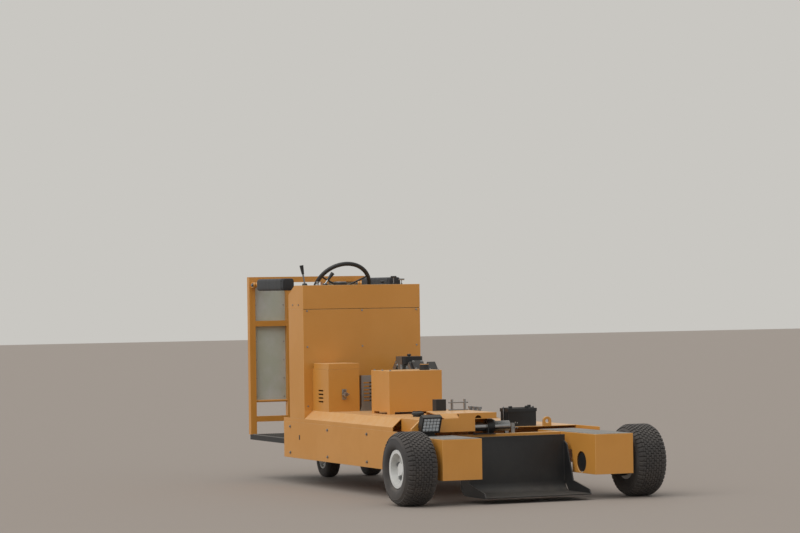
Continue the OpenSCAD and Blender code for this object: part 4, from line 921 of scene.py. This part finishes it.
@dataclass
class PanelTrim:
    """Fasteners and slotted grommets of the two side panels."""

    bolt_across: float = 0.0125
    bolts_back: tuple[float, ...] = (0.69, 1.385, 2.085)
    below_top: float = 0.034
    above_foot: float = 0.035
    grommet: tuple[float, float] = (0.018, 0.032)
    grommet_at: tuple[float, float] = (0.30, 0.145)
    grommet_rise: float = 0.001

    def faces(self) -> list[tuple[Vector, Vector, float, float]]:
        """Returns each panel's corners, the side position of its outer face and its outward sign."""
        right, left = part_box("side_panel_right"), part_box("side_panel_left")
        return [(*right, right[0].y, -1.0), (*left, left[1].y, 1.0)]

    def build(self) -> None:
        """Builds the bolts and the black grommets near the panels' tails."""
        trim = Maker("panel_bolts", "chassis", [PLATED_STEEL], Slot.STEEL)
        for low, high, face, sign in self.faces():
            for back in self.bolts_back:
                for height in (high.z - self.below_top, low.z + self.above_foot):
                    trim.bolt((high.x - back, face, height), Axis.LEFT.vector * sign, self.bolt_across)
        trim.done()
        plugs = Maker("panel_grommets", "chassis", [MOULDED_BLACK], Slot.PLASTIC)
        long, tall = self.grommet
        reach = Vector((long / 2, self.grommet_rise, tall / 2))
        for low, _, face, _ in self.faces():
            middle = Vector((low.x + self.grommet_at[0], face, low.z + self.grommet_at[1]))
            plugs.block(middle - reach, middle + reach, round_by=0.0008)
        plugs.done()


@dataclass
class WorkLamp:
    """What shows in the work lamp's frame: a grid of small reflectors behind a black lattice."""

    tilt: float = math.radians(24)
    origin: tuple[float, float] = (1.306, 0.434)
    inset: float = 0.0082
    columns: int = 5
    rows: int = 4
    gap: float = 0.0035
    width: float = 0.112
    height: float = 0.090
    first: float = 0.009
    cell_front: float = 0.0035
    cell_depth: float = 0.004
    cell_edge: float = 0.0014
    back_front: float = 0.001
    back_depth: float = 0.002

    def build(self) -> None:
        """Builds the lens cells and the lattice in the lamp's leaning plane."""
        low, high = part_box("work_lamp")
        place = (Matrix.Translation((self.origin[0], (low.y + high.y) / 2, self.origin[1]))
                 @ Matrix.Rotation(self.tilt, 4, "Y"))
        grid = Maker("lamp_cells", "chassis", [LAMP_LENS, MOULDED_BLACK], Slot.ALUMINIUM)
        wide, tall = self.width / self.columns, self.height / self.rows
        for column in range(self.columns):
            for row in range(self.rows):
                at = Vector((-self.inset + self.cell_front, -self.width / 2 + (column + 0.5) * wide,
                             self.first + (row + 0.5) * tall))
                size = (self.cell_depth, wide - self.gap, tall - self.gap, 1)
                grid.box(place @ Matrix.Translation(at) @ Matrix.Diagonal(size), self.cell_edge)
        grid.box(place @ Matrix.Translation((-self.inset + self.back_front, 0, self.first + self.height / 2))
                 @ Matrix.Diagonal((self.back_depth, self.width, self.height, 1)), index=1)
        grid.done()


@dataclass
class LouvreLatch:
    """The quarter-turn latch on the louvred box: a plated plate, a spindle and a tee.

    Each reach is where a part starts and ends, forward of the box's front wall.
    """

    wall_back: float = 0.034
    below_lid: float = 0.170
    plate: tuple[float, float] = (0.030, 0.072)
    plate_reach: tuple[float, float] = (-0.0005, 0.0046)
    spindle: float = 0.0138
    spindle_reach: tuple[float, float] = (0.004, 0.0225)
    boss: float = 0.0352
    boss_reach: tuple[float, float] = (0.0212, 0.0345)
    tee: tuple[float, float] = (0.052, 0.012)
    tee_reach: tuple[float, float] = (0.0225, 0.0335)
    screw: float = 0.008
    screw_inset: float = 0.009

    def build(self) -> None:
        """Builds the latch over the solid's plain one."""
        low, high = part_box("louvre_box")
        lid_low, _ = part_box("louvre_lid")
        wall = high.x - self.wall_back
        across = (low.y + high.y) / 2
        middle = lid_low.z - self.below_lid
        latch = Maker("louvre_latch", "chassis", [PLATED_STEEL], Slot.STEEL)
        for size, reach, round_by in ((self.plate, self.plate_reach, 0.0012),
                                      (self.tee, self.tee_reach, 0.003)):
            half_wide, half_tall = size[0] / 2, size[1] / 2
            latch.block((wall + reach[0], across - half_wide, middle - half_tall),
                        (wall + reach[1], across + half_wide, middle + half_tall), round_by)
        for diameter, reach, segments, round_by in ((self.spindle, self.spindle_reach, 20, 0.001),
                                                    (self.boss, self.boss_reach, 28, 0.003)):
            latch.bar((wall + reach[0], across, middle), (wall + reach[1], across, middle),
                      diameter, segments, round_by)
        for sign in (-1, 1):
            height = middle + sign * (self.plate[1] / 2 - self.screw_inset)
            latch.bolt((wall + self.plate_reach[1], across, height), Axis.FORWARD.vector, self.screw)
        latch.done()


@dataclass
class TwinRearWheels:
    """The two small steered wheels: ribbed solid tyres pressed on white steel rims with hub bolts."""

    half_width: float = 0.050
    ribs: int = 5
    rib_depth: float = 0.004
    shoulder: float = 0.018
    hole: float = 0.0156
    bead: float = 0.0645
    hub_bolts: int = 5
    hub_circle: float = 0.042
    hub_face: float = 0.0275
    hub_across: float = 0.009
    axle_nut: float = 0.026

    def tyre_section(self, radius: float) -> Profile:
        """Gives the ribbed tyre's section.

        Args:
            radius: The tyre's radius.

        Returns:
            Points as radius and distance along the axle.
        """
        half = self.half_width
        side = [(self.bead, half - 0.012), (self.bead + 0.006, half - 0.0015), (radius - 0.020, half),
                (radius - 0.007, half - 0.006), (radius - 0.001, half - 0.016)]
        ribs = []
        span = 2 * (half - self.shoulder)
        for rib in range(self.ribs):
            left = half - self.shoulder - span * rib / self.ribs
            right = half - self.shoulder - span * (rib + 1) / self.ribs
            ribs += [(radius, left - 0.001), (radius, right + 0.003)]
            if rib < self.ribs - 1:
                ribs += [(radius - self.rib_depth, right + 0.002), (radius - self.rib_depth, right)]
        return side + ribs + [(r, -a) for r, a in reversed(side)]

    def rim_section(self) -> Profile:
        """Gives the rim's section: a hub, a pressed disc on each side and the wall under the tyre.

        Returns:
            Points as radius and distance along the axle.
        """
        flange = self.half_width - 0.004
        right = [(self.hole, 0.046), (0.026, 0.046), (0.028, 0.030), (self.bead - 0.010, 0.026),
                 (self.bead - 0.007, flange), (self.bead + 0.0005, flange)]
        return right + [(r, -a) for r, a in reversed(right)]

    def build(self) -> None:
        """Builds both wheels about the axle that the solids give, and the axle's nuts."""
        low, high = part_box("steer_wheels")
        middle = (low + high) / 2
        out = Axis.LEFT.vector
        tyres = Maker("twin_tyres", "twin_wheels", [TYRE], Slot.TYRE)
        rims = Maker("twin_rims", "twin_wheels", [WHEEL_ENAMEL, PLATED_STEEL], Slot.RIM)
        for across in (low.y + self.half_width, high.y - self.half_width):
            centre = Vector((middle.x, across, middle.z))
            tyres.lathe(self.tyre_section((high.z - low.z) / 2), centre, out, 72)
            rims.lathe(self.rim_section(), centre, out, 56)
            for sign in (-1, 1):
                for index in range(self.hub_bolts):
                    angle = FULL_TURN * index / self.hub_bolts
                    spot = centre + Vector((math.cos(angle) * self.hub_circle, sign * self.hub_face,
                                            math.sin(angle) * self.hub_circle))
                    rims.bolt(spot, out * sign, self.hub_across, index=1)
        tyres.done(["steer_wheels"], math.radians(35))
        rims.done()
        nuts = Maker("rear_axle_nuts", "steer_yoke", [PLATED_STEEL], Slot.STEEL)
        for across, sign in ((low.y, -1), (high.y, 1)):
            nuts.bolt((middle.x, across, middle.z), out * sign, self.axle_nut)
        nuts.done()


@dataclass
class PlatformMat:
    """The operator's rubber mat: a thin sheet with rows of raised ribs.

    Heights are above the platform.
    """

    back_margin: float = 0.055
    margin: float = 0.012
    sheet: tuple[float, float] = (0.0002, 0.0032)
    rib_height: tuple[float, float] = (0.0028, 0.0052)
    rib_pitch: float = 0.018
    rib_width: float = 0.007
    rib_inset: float = 0.008
    first_rib: float = 0.012

    def build(self) -> None:
        """Builds the mat on the platform, clear of the guard's posts."""
        low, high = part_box("platform")
        x0, x1 = low.x + self.back_margin, high.x - self.margin
        y0, y1 = low.y + self.margin, high.y - self.margin
        mat = Maker("platform_mat", "chassis", [MAT_RUBBER], Slot.PLASTIC)
        mat.block((x0, y0, high.z + self.sheet[0]), (x1, y1, high.z + self.sheet[1]), round_by=0.0006)
        count = int((y1 - y0 - 2 * self.rib_inset) / self.rib_pitch)
        for index in range(count):
            y = y0 + self.first_rib + self.rib_pitch * index
            mat.block((x0 + self.rib_inset, y, high.z + self.rib_height[0]),
                      (x1 - self.rib_inset, y + self.rib_width, high.z + self.rib_height[1]), round_by=0.0009)
        mat.done()


@dataclass
class GuardTrim:
    """Rivets that hold the white sheets, and bolt heads at the arms' hinges."""

    rivet: float = 0.009
    rivet_sink: float = 0.0004
    rivet_rise: float = 0.0022
    rivet_rows: int = 7
    bay: float = 0.240
    side_inset: float = 0.014
    end_inset: float = 0.03
    hinge_back: float = 0.019
    hinge_half: float = 0.032
    hinge_across: float = 0.018

    def build(self) -> None:
        """Builds the guard's small fasteners."""
        trim = Maker("guard_rivets", "chassis", [PLATED_STEEL], Slot.STEEL)
        low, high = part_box("guard_sheet")
        run = high.z - low.z - 2 * self.end_inset
        for start in (low.y, high.y - self.bay):
            for across in (start + self.side_inset, start + self.bay - self.side_inset):
                for row in range(self.rivet_rows):
                    height = low.z + self.end_inset + run * row / (self.rivet_rows - 1)
                    for face, sign in ((high.x, 1), (low.x, -1)):
                        trim.bar((face - sign * self.rivet_sink, across, height),
                                 (face + sign * self.rivet_rise, across, height),
                                 self.rivet, segments=12, round_by=0.0009)
        for side in ("right", "left"):
            low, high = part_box(f"arm_{side}")
            middle = (low + high) / 2
            for sign in (-1, 1):
                spot = (low.x + self.hinge_back, middle.y + sign * self.hinge_half, middle.z)
                trim.bolt(spot, Axis.LEFT.vector * sign, self.hinge_across)
        trim.done()


@dataclass
class Engine:
    """The V-twin engine: aluminium castings, black shroud and air box, heat-browned silencer.

    Sizes are from the crank's middle, or along a cylinder that leans from upright.
    """

    crank: tuple[float, float, float] = (-0.292, -0.020, 0.655)
    lean: float = math.radians(45)
    cylinder: tuple[float, float] = (0.088, 0.212)
    rocker_top: float = 0.236
    rocker_bolts: tuple[float, float] = (0.034, 0.030)
    half_width: float = 0.0595
    air_box: tuple[float, float, float] = (0.076, 0.165, 0.2234)
    silencer: tuple[float, float, float] = (0.1914, -0.0392, 0.048)
    silencer_margin: float = 0.004
    band_spots: tuple[float, ...] = (-0.119, 0.119, -0.055, 0.055)
    pump_side: float = -0.100
    shroud_face: float = 0.128
    shroud_bolts: int = 6
    shroud_circle: float = 0.106
    plug_foot: tuple[float, float] = (0.0545, 0.196)
    plug_rise: float = 0.35
    small_bolt: float = 0.009

    def local(self, lean: float, across: float, side: float, up: float) -> Vector:
        """Returns the place of a point that is given along a cylinder with this lean."""
        return Vector(self.crank) + Matrix.Rotation(lean, 3, "Y") @ Vector((across, side, up))

    def zone(self, middle: Vector) -> int:
        """Tells which finish a face of the engine has.

        Args:
            middle: The face's middle.

        Returns:
            0 for black steel, 2 for aluminium, 3 for black plastic, 4 for the silencer.
        """
        spot = middle - Vector(self.crank)
        if spot.y < self.pump_side:
            return 2
        along, height, radius = self.silencer
        if math.hypot(spot.x - along, spot.z - height) < radius + self.silencer_margin:
            return 4
        half, low, _ = self.air_box
        if spot.z > low and abs(spot.x) < half:
            return 3
        for lean in (-self.lean, self.lean):
            turned = Matrix.Rotation(-lean, 3, "Y") @ spot
            if self.cylinder[0] < turned.z and abs(turned.x) < self.half_width:
                return 2 if turned.z < self.cylinder[1] else 0
        return 2

    def head(self, kit: Maker, lean: float) -> None:
        """Adds a cylinder head's cover bolts and its spark plug with its cap.

        Args:
            kit: Holds the engine's fittings.
            lean: The cylinder's lean.
        """
        turn = Matrix.Rotation(lean, 3, "Y")
        long, wide = self.rocker_bolts
        for across in (-long, long):
            for side in (-wide, wide):
                kit.bolt(self.local(lean, across, side, self.rocker_top), turn @ Axis.UP.vector,
                         self.small_bolt)
        away = 1.0 if lean > 0 else -1.0
        foot = self.local(lean, away * self.plug_foot[0], 0.0, self.plug_foot[1])
        axis = turn @ Vector((away, 0, self.plug_rise)).normalized()
        kit.bar(foot, foot + axis * 0.010, 0.021, segments=6, round_by=0.001)
        kit.bar(foot + axis * 0.009, foot + axis * 0.024, 0.013, segments=18, round_by=0.001, index=2)
        kit.bar(foot + axis * 0.020, foot + axis * 0.050, 0.018, segments=18, round_by=0.003, index=1,
                end_diameter=0.014)

    def fittings(self) -> None:
        """Builds the bolts, spark plugs and air box knob that the solid leaves out."""
        kit = Maker("engine_fittings", "chassis", [PLATED_STEEL, MOULDED_BLACK, PLUG_CERAMIC], Slot.STEEL)
        for lean in (-self.lean, self.lean):
            self.head(kit, lean)
        knob = [(0.0, 0.017), (0.010, 0.017), (0.0145, 0.013), (0.0145, 0.005), (0.008, 0.003), (0.008, 0.0),
                (0.0, 0.0)]
        kit.lathe(knob, self.local(0.0, 0.0, 0.0, self.air_box[2]), Axis.UP.vector, 28, index=1)
        for index in range(self.shroud_bolts):
            angle = FULL_TURN * index / self.shroud_bolts
            spot = self.local(0.0, math.cos(angle) * self.shroud_circle, self.shroud_face,
                              math.sin(angle) * self.shroud_circle)
            kit.bolt(spot, Axis.LEFT.vector, self.small_bolt)
        kit.done()

    def bands(self) -> None:
        """Builds the clamping bands round the silencer."""
        along, height, radius = self.silencer
        band = [(radius - 0.001, -0.004), (radius + 0.0022, -0.003), (radius + 0.0022, 0.003),
                (radius - 0.001, 0.004)]
        bands = Maker("silencer_bands", "chassis", [HEATED_STEEL], Slot.ENGINE)
        for side in self.band_spots:
            bands.lathe(band, self.local(0.0, along, side, height), Axis.LEFT.vector, 48)
        bands.done()

    def build(self) -> None:
        """Dresses the engine and adds what its solid leaves out."""
        softened("engine", BLACK_STEEL, WORN_BLACK, 2.0, Slot.ENGINE,
                 (CAST_ALUMINIUM, MOULDED_BLACK, HEATED_STEEL), self.zone)
        self.fittings()
        self.bands()


@dataclass
class Levers:
    """The console's levers and tee handles: plated shafts, black grips and boots.

    Each shaft is the band across the machine and the band above the console where it shows.
    """

    shafts: tuple[tuple[float, float, float, float], ...] = (
        (-0.645, -0.555, 0.0155, 0.068), (-0.520, -0.430, 0.012, 0.031), (0.030, 0.115, 0.0065, 0.046))

    def zone(self, middle: Vector) -> int:
        """Tells which finish a face of the levers has.

        Args:
            middle: The face's middle.

        Returns:
            2 on a bare shaft, or else 0.
        """
        for low, high, start, end in self.shafts:
            if low < middle.y < high and start < middle.z - CONSOLE_TOP < end:
                return 2
        return 0

    def build(self) -> None:
        """Dresses the levers."""
        softened("levers", MOULDED_BLACK, MOULDED_BLACK, 1.2, Slot.PLASTIC, (PLATED_STEEL,), self.zone)


@dataclass
class Winch:
    """The winch behind the arch: black cheeks and bed, a bare drum, a plated motor with its end bolts."""

    axis: tuple[float, float] = (1.178, 0.458)
    drum_radius: float = 0.031
    motor_radius: float = 0.034
    motor_start: float = -0.034
    end_bolts: int = 4
    bolt_circle: float = 0.022
    bolt_across: float = 0.007

    def zone(self, middle: Vector) -> int:
        """Tells which finish a face of the winch has.

        Args:
            middle: The face's middle.

        Returns:
            2 on the drum and the motor, or else 0.
        """
        far = math.hypot(middle.x - self.axis[0], middle.z - self.axis[1])
        on_motor = self.motor_start < middle.y and far < self.motor_radius
        return 2 if on_motor or far < self.drum_radius else 0

    def build(self) -> None:
        """Dresses the winch and adds the motor's end bolts."""
        softened("winch", BLACK_STEEL, WORN_BLACK, 0.8, Slot.STEEL, (PLATED_STEEL,), self.zone)
        _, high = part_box("winch")
        bolts = Maker("winch_bolts", "chassis", [PLATED_STEEL], Slot.STEEL)
        for index in range(self.end_bolts):
            angle = FULL_TURN * (index + 0.5) / self.end_bolts
            spot = (self.axis[0] + math.cos(angle) * self.bolt_circle, high.y,
                    self.axis[1] + math.sin(angle) * self.bolt_circle)
            bolts.bolt(spot, Axis.LEFT.vector, self.bolt_across)
        bolts.done()


@dataclass
class HydraulicLines:
    """Bent steel lines with their nuts, from the valve sections down through the low deck."""

    first: float = 0.598
    pitch: float = 0.0667
    sections: int = 3
    face: float = 0.102
    height: float = 0.475
    deck: float = 0.4335
    diameter: float = 0.010
    reach: float = 0.030
    bend: float = 0.018
    nut: tuple[float, float] = (0.018, 0.010)
    seal: tuple[float, float] = (0.022, 0.006)
    sink: float = 0.001

    def build(self) -> None:
        """Builds one line for each valve section, and the seal where it enters the deck."""
        lines = Maker("hydraulic_lines", "chassis", [PLATED_STEEL, MOULDED_BLACK], Slot.STEEL)
        face, height, deck = self.face, self.height, self.deck
        y = face + self.reach
        for section in range(self.sections):
            x = self.first + (section + 0.5) * self.pitch
            lines.tube([(x, face - 2 * self.sink, height), (x, y, height), (x, y, deck - self.sink)],
                       self.diameter, self.bend)
            lines.bar((x, face - self.sink, height), (x, face + self.nut[1], height), self.nut[0],
                      segments=6, round_by=0.001)
            lines.bar((x, y, deck), (x, y, deck + self.seal[1]), self.seal[0], round_by=0.0015, index=1)
        lines.done()


@dataclass
class TankTrim:
    """The hydraulic tank's lid flange bolts and breather cap, and the sight glass and drain plug behind."""

    cap_height: float = 0.040
    bolt_inset: float = 0.018
    bolt_across: float = 0.010
    cap_inset: tuple[float, float] = (0.080, 0.090)
    glass_side: float = 0.045
    glass_width: float = 0.018
    glass_height: tuple[float, float] = (0.085, 0.205)
    drain_at: tuple[float, float] = (0.05, 0.040)
    drain_across: float = 0.017

    def cap(self, kit: Maker, place: Vector) -> None:
        """Adds the breather cap over the solid's plain one."""
        kit.lathe([(0.0, 0.0405), (0.026, 0.0405), (0.0305, 0.036), (0.0308, 0.012), (0.034, 0.011),
                   (0.034, 0.0005), (0.0, 0.0005)], place, Axis.UP.vector, 40, index=1)

    def sight_glass(self, kit: Maker, corner: Vector) -> None:
        """Adds the sight glass in its plated frame.

        Args:
            kit: Holds the tank's fittings.
            corner: The tank's lowest rear right corner.
        """
        x, y, z = corner.x, corner.y + self.glass_side, corner.z
        foot, top = self.glass_height
        kit.block((x - 0.006, y, z + foot), (x + 0.0005, y + self.glass_width, z + top), round_by=0.002)
        kit.block((x - 0.0075, y + 0.004, z + foot + 0.010),
                  (x - 0.0055, y + self.glass_width - 0.004, z + top - 0.010), round_by=0.001, index=2)

    def build(self) -> None:
        """Builds the tank's fittings."""
        low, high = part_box("hydraulic_tank")
        top = high.z - self.cap_height
        kit = Maker("tank_fittings", "chassis", [PLATED_STEEL, MOULDED_BLACK, LAMP_LENS], Slot.STEEL)
        for x in (low.x + self.bolt_inset, (low.x + high.x) / 2, high.x - self.bolt_inset):
            for y in (low.y + self.bolt_inset, high.y - self.bolt_inset):
                kit.bolt((x, y, top), Axis.UP.vector, self.bolt_across)
        self.cap(kit, Vector((high.x - self.cap_inset[0], high.y - self.cap_inset[1], top)))
        self.sight_glass(kit, low)
        side, height = self.drain_at
        kit.bolt((low.x, low.y + side, low.z + height), -Axis.FORWARD.vector, self.drain_across)
        kit.done()


@dataclass
class BatteryTrim:
    """The battery's hold-down bar with its two rods, and the terminal boots."""

    lid_drop: float = 0.019
    bar_half: float = 0.011
    bar_over: float = 0.006
    bar_height: float = 0.0045
    rod: float = 0.0055
    rod_out: float = 0.0035
    rod_rise: float = 0.013
    nut: float = 0.009
    boot: float = 0.026
    boot_height: float = 0.015
    boot_inset: tuple[float, float, float] = (0.030, 0.030, 0.060)

    def build(self) -> None:
        """Builds the bar, rods and boots on the case."""
        low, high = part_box("battery_box")
        lid = high.z - self.lid_drop
        middle = (low.x + high.x) / 2
        trim = Maker("battery_clamp", "chassis", [BLACK_STEEL, PLATED_STEEL, MOULDED_BLACK], Slot.BLACK)
        trim.block((middle - self.bar_half, low.y - self.bar_over, lid - 0.0005),
                   (middle + self.bar_half, high.y + self.bar_over, lid + self.bar_height), round_by=0.0012)
        for y in (low.y - self.rod_out, high.y + self.rod_out):
            trim.bar((middle, y, low.z + 0.001), (middle, y, lid + self.rod_rise), self.rod, segments=14,
                     round_by=0.0006, index=1)
            trim.bolt((middle, y, lid + self.bar_height), Axis.UP.vector, self.nut, index=1)
        back, right, left = self.boot_inset
        for y in (low.y + right, high.y - left):
            trim.bar((high.x - back, y, lid - 0.001), (high.x - back, y, lid + self.boot_height), self.boot,
                     round_by=0.003, index=2)
        trim.done()


@dataclass
class LiftPinTrim:
    """Bolt heads and grease fittings on the pins that the scoop's arms turn on."""

    pivot: tuple[float, float] = (0.648, 0.300)
    head: float = 0.019
    fitting: float = 0.006

    def build(self) -> None:
        """Builds the heads and fittings on the brackets' outer ears."""
        low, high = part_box("lift_brackets")
        along, height = self.pivot
        pins = Maker("lift_pin_heads", "chassis", [PLATED_STEEL], Slot.STEEL)
        for across, sign in ((low.y, -1), (high.y, 1)):
            pins.bolt((along, across, height), Axis.LEFT.vector * sign, self.head)
            tip = across + sign * (self.head * 0.5 + self.fitting)
            pins.bar((along, across, height), (along, tip, height), self.fitting, segments=12, round_by=0.001)
        pins.done()


@dataclass
class ConsoleControls:
    """Small controls on the console's top: the gauge's dial, bezel and pointer, a key switch and a button.

    Each place is the distance behind the front axle and the side position.
    """

    front_axle: float = 1.498
    gauge_at: tuple[float, float] = (2.160, -0.371)
    gauge_height: float = 0.020
    key_at: tuple[float, float] = (2.150, -0.545)
    button_at: tuple[float, float] = (2.150, -0.060)
    pointer_half: float = 0.0012
    key_half: tuple[float, float] = (0.0012, 0.008)

    def spot(self, at: tuple[float, float], height: float = 0.0) -> Vector:
        """Returns a place on the console's top, or a height above it."""
        return Vector((self.front_axle - at[0], at[1], CONSOLE_TOP + height))

    def gauge(self, kit: Maker) -> None:
        """Adds the gauge's dial, bezel and pointer.

        Args:
            kit: Holds the console's controls.
        """
        at = self.spot(self.gauge_at, self.gauge_height)
        dial = [(0.0, 0.0008), (0.034, 0.0008), (0.034, 0.0002), (0.0, 0.0002)]
        bezel = [(0.0335, 0.0001), (0.0405, 0.0001), (0.0400, 0.0035), (0.0350, 0.0035)]
        kit.lathe(dial, at, Axis.UP.vector, 48, index=2)
        kit.lathe(bezel, at, Axis.UP.vector, 48, index=1)
        kit.block((at.x - self.pointer_half, at.y - 0.004, at.z + 0.0008),
                  (at.x + self.pointer_half, at.y + 0.026, at.z + 0.0018), round_by=0.0003)

    def key(self, kit: Maker) -> None:
        """Adds the key switch and its key.

        Args:
            kit: Holds the console's controls.
        """
        at = self.spot(self.key_at)
        thin, wide = self.key_half
        barrel = [(0.0, 0.010), (0.009, 0.010), (0.0135, 0.006), (0.0145, 0.0), (0.0, 0.0)]
        kit.lathe(barrel, at, Axis.UP.vector, 32, index=1)
        kit.block((at.x - thin, at.y - wide, at.z + 0.009), (at.x + thin, at.y + wide, at.z + 0.026),
                  round_by=0.0006, index=1)

    def button(self, kit: Maker) -> None:
        """Adds the push button: a collar and a mushroom head.

        Args:
            kit: Holds the console's controls.
        """
        collar = [(0.0, 0.012), (0.012, 0.012), (0.022, 0.004), (0.023, 0.0), (0.0, 0.0)]
        head = [(0.0, 0.027), (0.014, 0.026), (0.0185, 0.022), (0.0185, 0.016), (0.010, 0.013), (0.0, 0.012)]
        for profile in (collar, head):
            kit.lathe(profile, self.spot(self.button_at), Axis.UP.vector, 32)

    def build(self) -> None:
        """Builds the controls on the console."""
        kit = Maker("console_controls", "chassis", [MOULDED_BLACK, PLATED_STEEL, DIAL_FACE], Slot.PLASTIC)
        self.gauge(kit)
        self.key(kit)
        self.button(kit)
        kit.done()


@dataclass
class Studio:
    """Plain pale floor and backdrop, soft light and the camera that was fitted to the photograph."""

    camera_at: tuple[float, float, float] = (18.1318387, -7.88849704, 1.32518009)
    turn: float = 0.400988193
    pitch: float = 0.00836356062
    roll: float = -0.0142985679
    focal_px: float = 2931.31452
    sensor_mm: float = 36.0
    view_reach: float = 200
    floor_half: float = 60
    floor_drop: float = 0.001
    floor_colour: str = "#998E84"
    floor_roughness: float = 0.9
    sun_tilt: tuple[float, float] = (34.0, 14.0)
    sun_spread: float = math.radians(70)
    sun_strength: float = 1.67
    sky_colour: str = "#F2F5F8"
    sky_strength: float = 0.634
    backdrop: str = "#C9C7C2"

    def camera(self) -> None:
        """Makes the camera that sees the machine as the photograph does."""
        level = math.cos(self.pitch)
        right = Vector((math.sin(self.turn), math.cos(self.turn), 0))
        forward = Vector((-math.cos(self.turn) * level, math.sin(self.turn) * level, math.sin(self.pitch)))
        up = right.cross(forward)
        rolled_right = right * math.cos(self.roll) + up * math.sin(self.roll)
        rolled_up = up * math.cos(self.roll) - right * math.sin(self.roll)
        data = bpy.data.cameras.new("photo_camera")
        data.sensor_width = self.sensor_mm
        data.lens = self.focal_px / PHOTO_WIDTH_PX * self.sensor_mm
        data.clip_end = self.view_reach
        camera = bpy.data.objects.new("photo_camera", data)
        matrix = Matrix((rolled_right, rolled_up, -forward)).transposed().to_4x4()
        matrix.translation = Vector(self.camera_at)
        camera.matrix_world = matrix
        bpy.context.scene.collection.objects.link(camera)
        bpy.context.scene.camera = camera

    def floor(self) -> None:
        """Makes the floor."""
        bm = bmesh.new()
        bmesh.ops.create_grid(bm, x_segments=1, y_segments=1, size=self.floor_half)
        mesh = bpy.data.meshes.new("floor")
        bm.to_mesh(mesh)
        bm.free()
        floor = bpy.data.objects.new("floor", mesh)
        floor.location.z = -self.floor_drop
        bpy.context.scene.collection.objects.link(floor)
        material = bpy.data.materials.new("pale_floor")
        material.use_nodes = True
        shader = material.node_tree.nodes["Principled BSDF"]
        shader.inputs["Base Color"].default_value = linear(self.floor_colour)
        shader.inputs["Roughness"].default_value = self.floor_roughness
        mesh.materials.append(material)

    def light(self) -> None:
        """Makes an even overcast sky, a backdrop that only the camera and shine see, and a soft sun."""
        world = bpy.data.worlds.new("overcast")
        bpy.context.scene.world = world
        world.use_nodes = True
        tree = world.node_tree
        tree.nodes.clear()
        path = add_node(tree, "ShaderNodeLightPath")
        seen = path.outputs["Is Camera Ray"]
        for ray in ("Is Glossy Ray", "Is Transmission Ray"):
            seen = add_node(tree, "ShaderNodeMath", {"operation": "MAXIMUM"},
                            links={0: seen, 1: path.outputs[ray]}).outputs[0]
        sky = add_node(tree, "ShaderNodeBackground", None,
                       {"Color": linear(self.sky_colour), "Strength": self.sky_strength})
        wall = add_node(tree, "ShaderNodeBackground", None, {"Color": linear(self.backdrop), "Strength": 1.0})
        both = add_node(tree, "ShaderNodeMixShader", links={0: seen, 1: sky.outputs[0], 2: wall.outputs[0]})
        add_node(tree, "ShaderNodeOutputWorld", links={0: both.outputs[0]})
        data = bpy.data.lights.new("overhead", "SUN")
        data.energy = self.sun_strength
        data.angle = self.sun_spread
        lamp = bpy.data.objects.new("overhead", data)
        lamp.rotation_euler = (*(math.radians(angle) for angle in self.sun_tilt), 0)
        bpy.context.scene.collection.objects.link(lamp)

    def build(self) -> None:
        """Builds the stage."""
        bpy.context.scene.view_settings.view_transform = "Standard"
        self.camera()
        self.floor()
        self.light()


def main() -> None:
    """Builds every sub-assembly in order."""
    logging.basicConfig(level=logging.INFO, format="%(name)s %(message)s")
    Studio().build()
    parts = [
        FrontWheel("right"), FrontWheel("left"), PaddedArm("right", 7), PaddedArm("left", 11),
        Shells(["frame_rails", "cross_members", "side_panel_right", "side_panel_left", "deck_right",
                "deck_left", "winch_cover", "pod_right", "pod_left", "lift_brackets", "scoop_arms",
                "steer_yoke", "guard_frame", "console_body", "console_front", "console_cover",
                "louvre_box", "louvre_lid", "hydraulic_tank"],
               ENAMEL, RUBBED_ENAMEL, 1.6, Slot.YELLOW),
        Shells(["scoop_bucket", "drive_motors", "work_lamp", "platform", "lift_barrel", "blower_housing"],
               BLACK_STEEL, WORN_BLACK, 1.2, Slot.BLACK),
        Shells(["deck_fittings", "battery_box", "steering_column", "steering_wheel"],
               MOULDED_BLACK, MOULDED_BLACK, 1.5, Slot.PLASTIC),
        Winch(),
        Shells(["valve_bank"], PLATED_STEEL, PLATED_STEEL, 0.8, Slot.STEEL),
        Shells(["lift_rod"], CHROME, CHROME, 0.5, Slot.STEEL),
        Shells(["oil_cooler"], CAST_ALUMINIUM, CAST_ALUMINIUM, 0.8, Slot.ALUMINIUM),
        Engine(), Levers(), HydraulicLines(),
        Shells(["guard_sheet"], SHEET_PAINTED_GREEN_BOUNCE, SHEET_PAINTED_GREEN_BOUNCE, 0.6, Slot.SHEET),
        Shells(["step_pads"], GRIT, GRIT, 0.5, Slot.GRIT),
        TwinRearWheels(), ConsoleTrim(), ConsoleControls(), PanelTrim(), WorkLamp(), LouvreLatch(),
        PlatformMat(), GuardTrim(), TankTrim(), BatteryTrim(), LiftPinTrim(), ConsoleToe(),
    ]
    for part in parts:
        part.build()


if __name__ == "__main__":
    main()
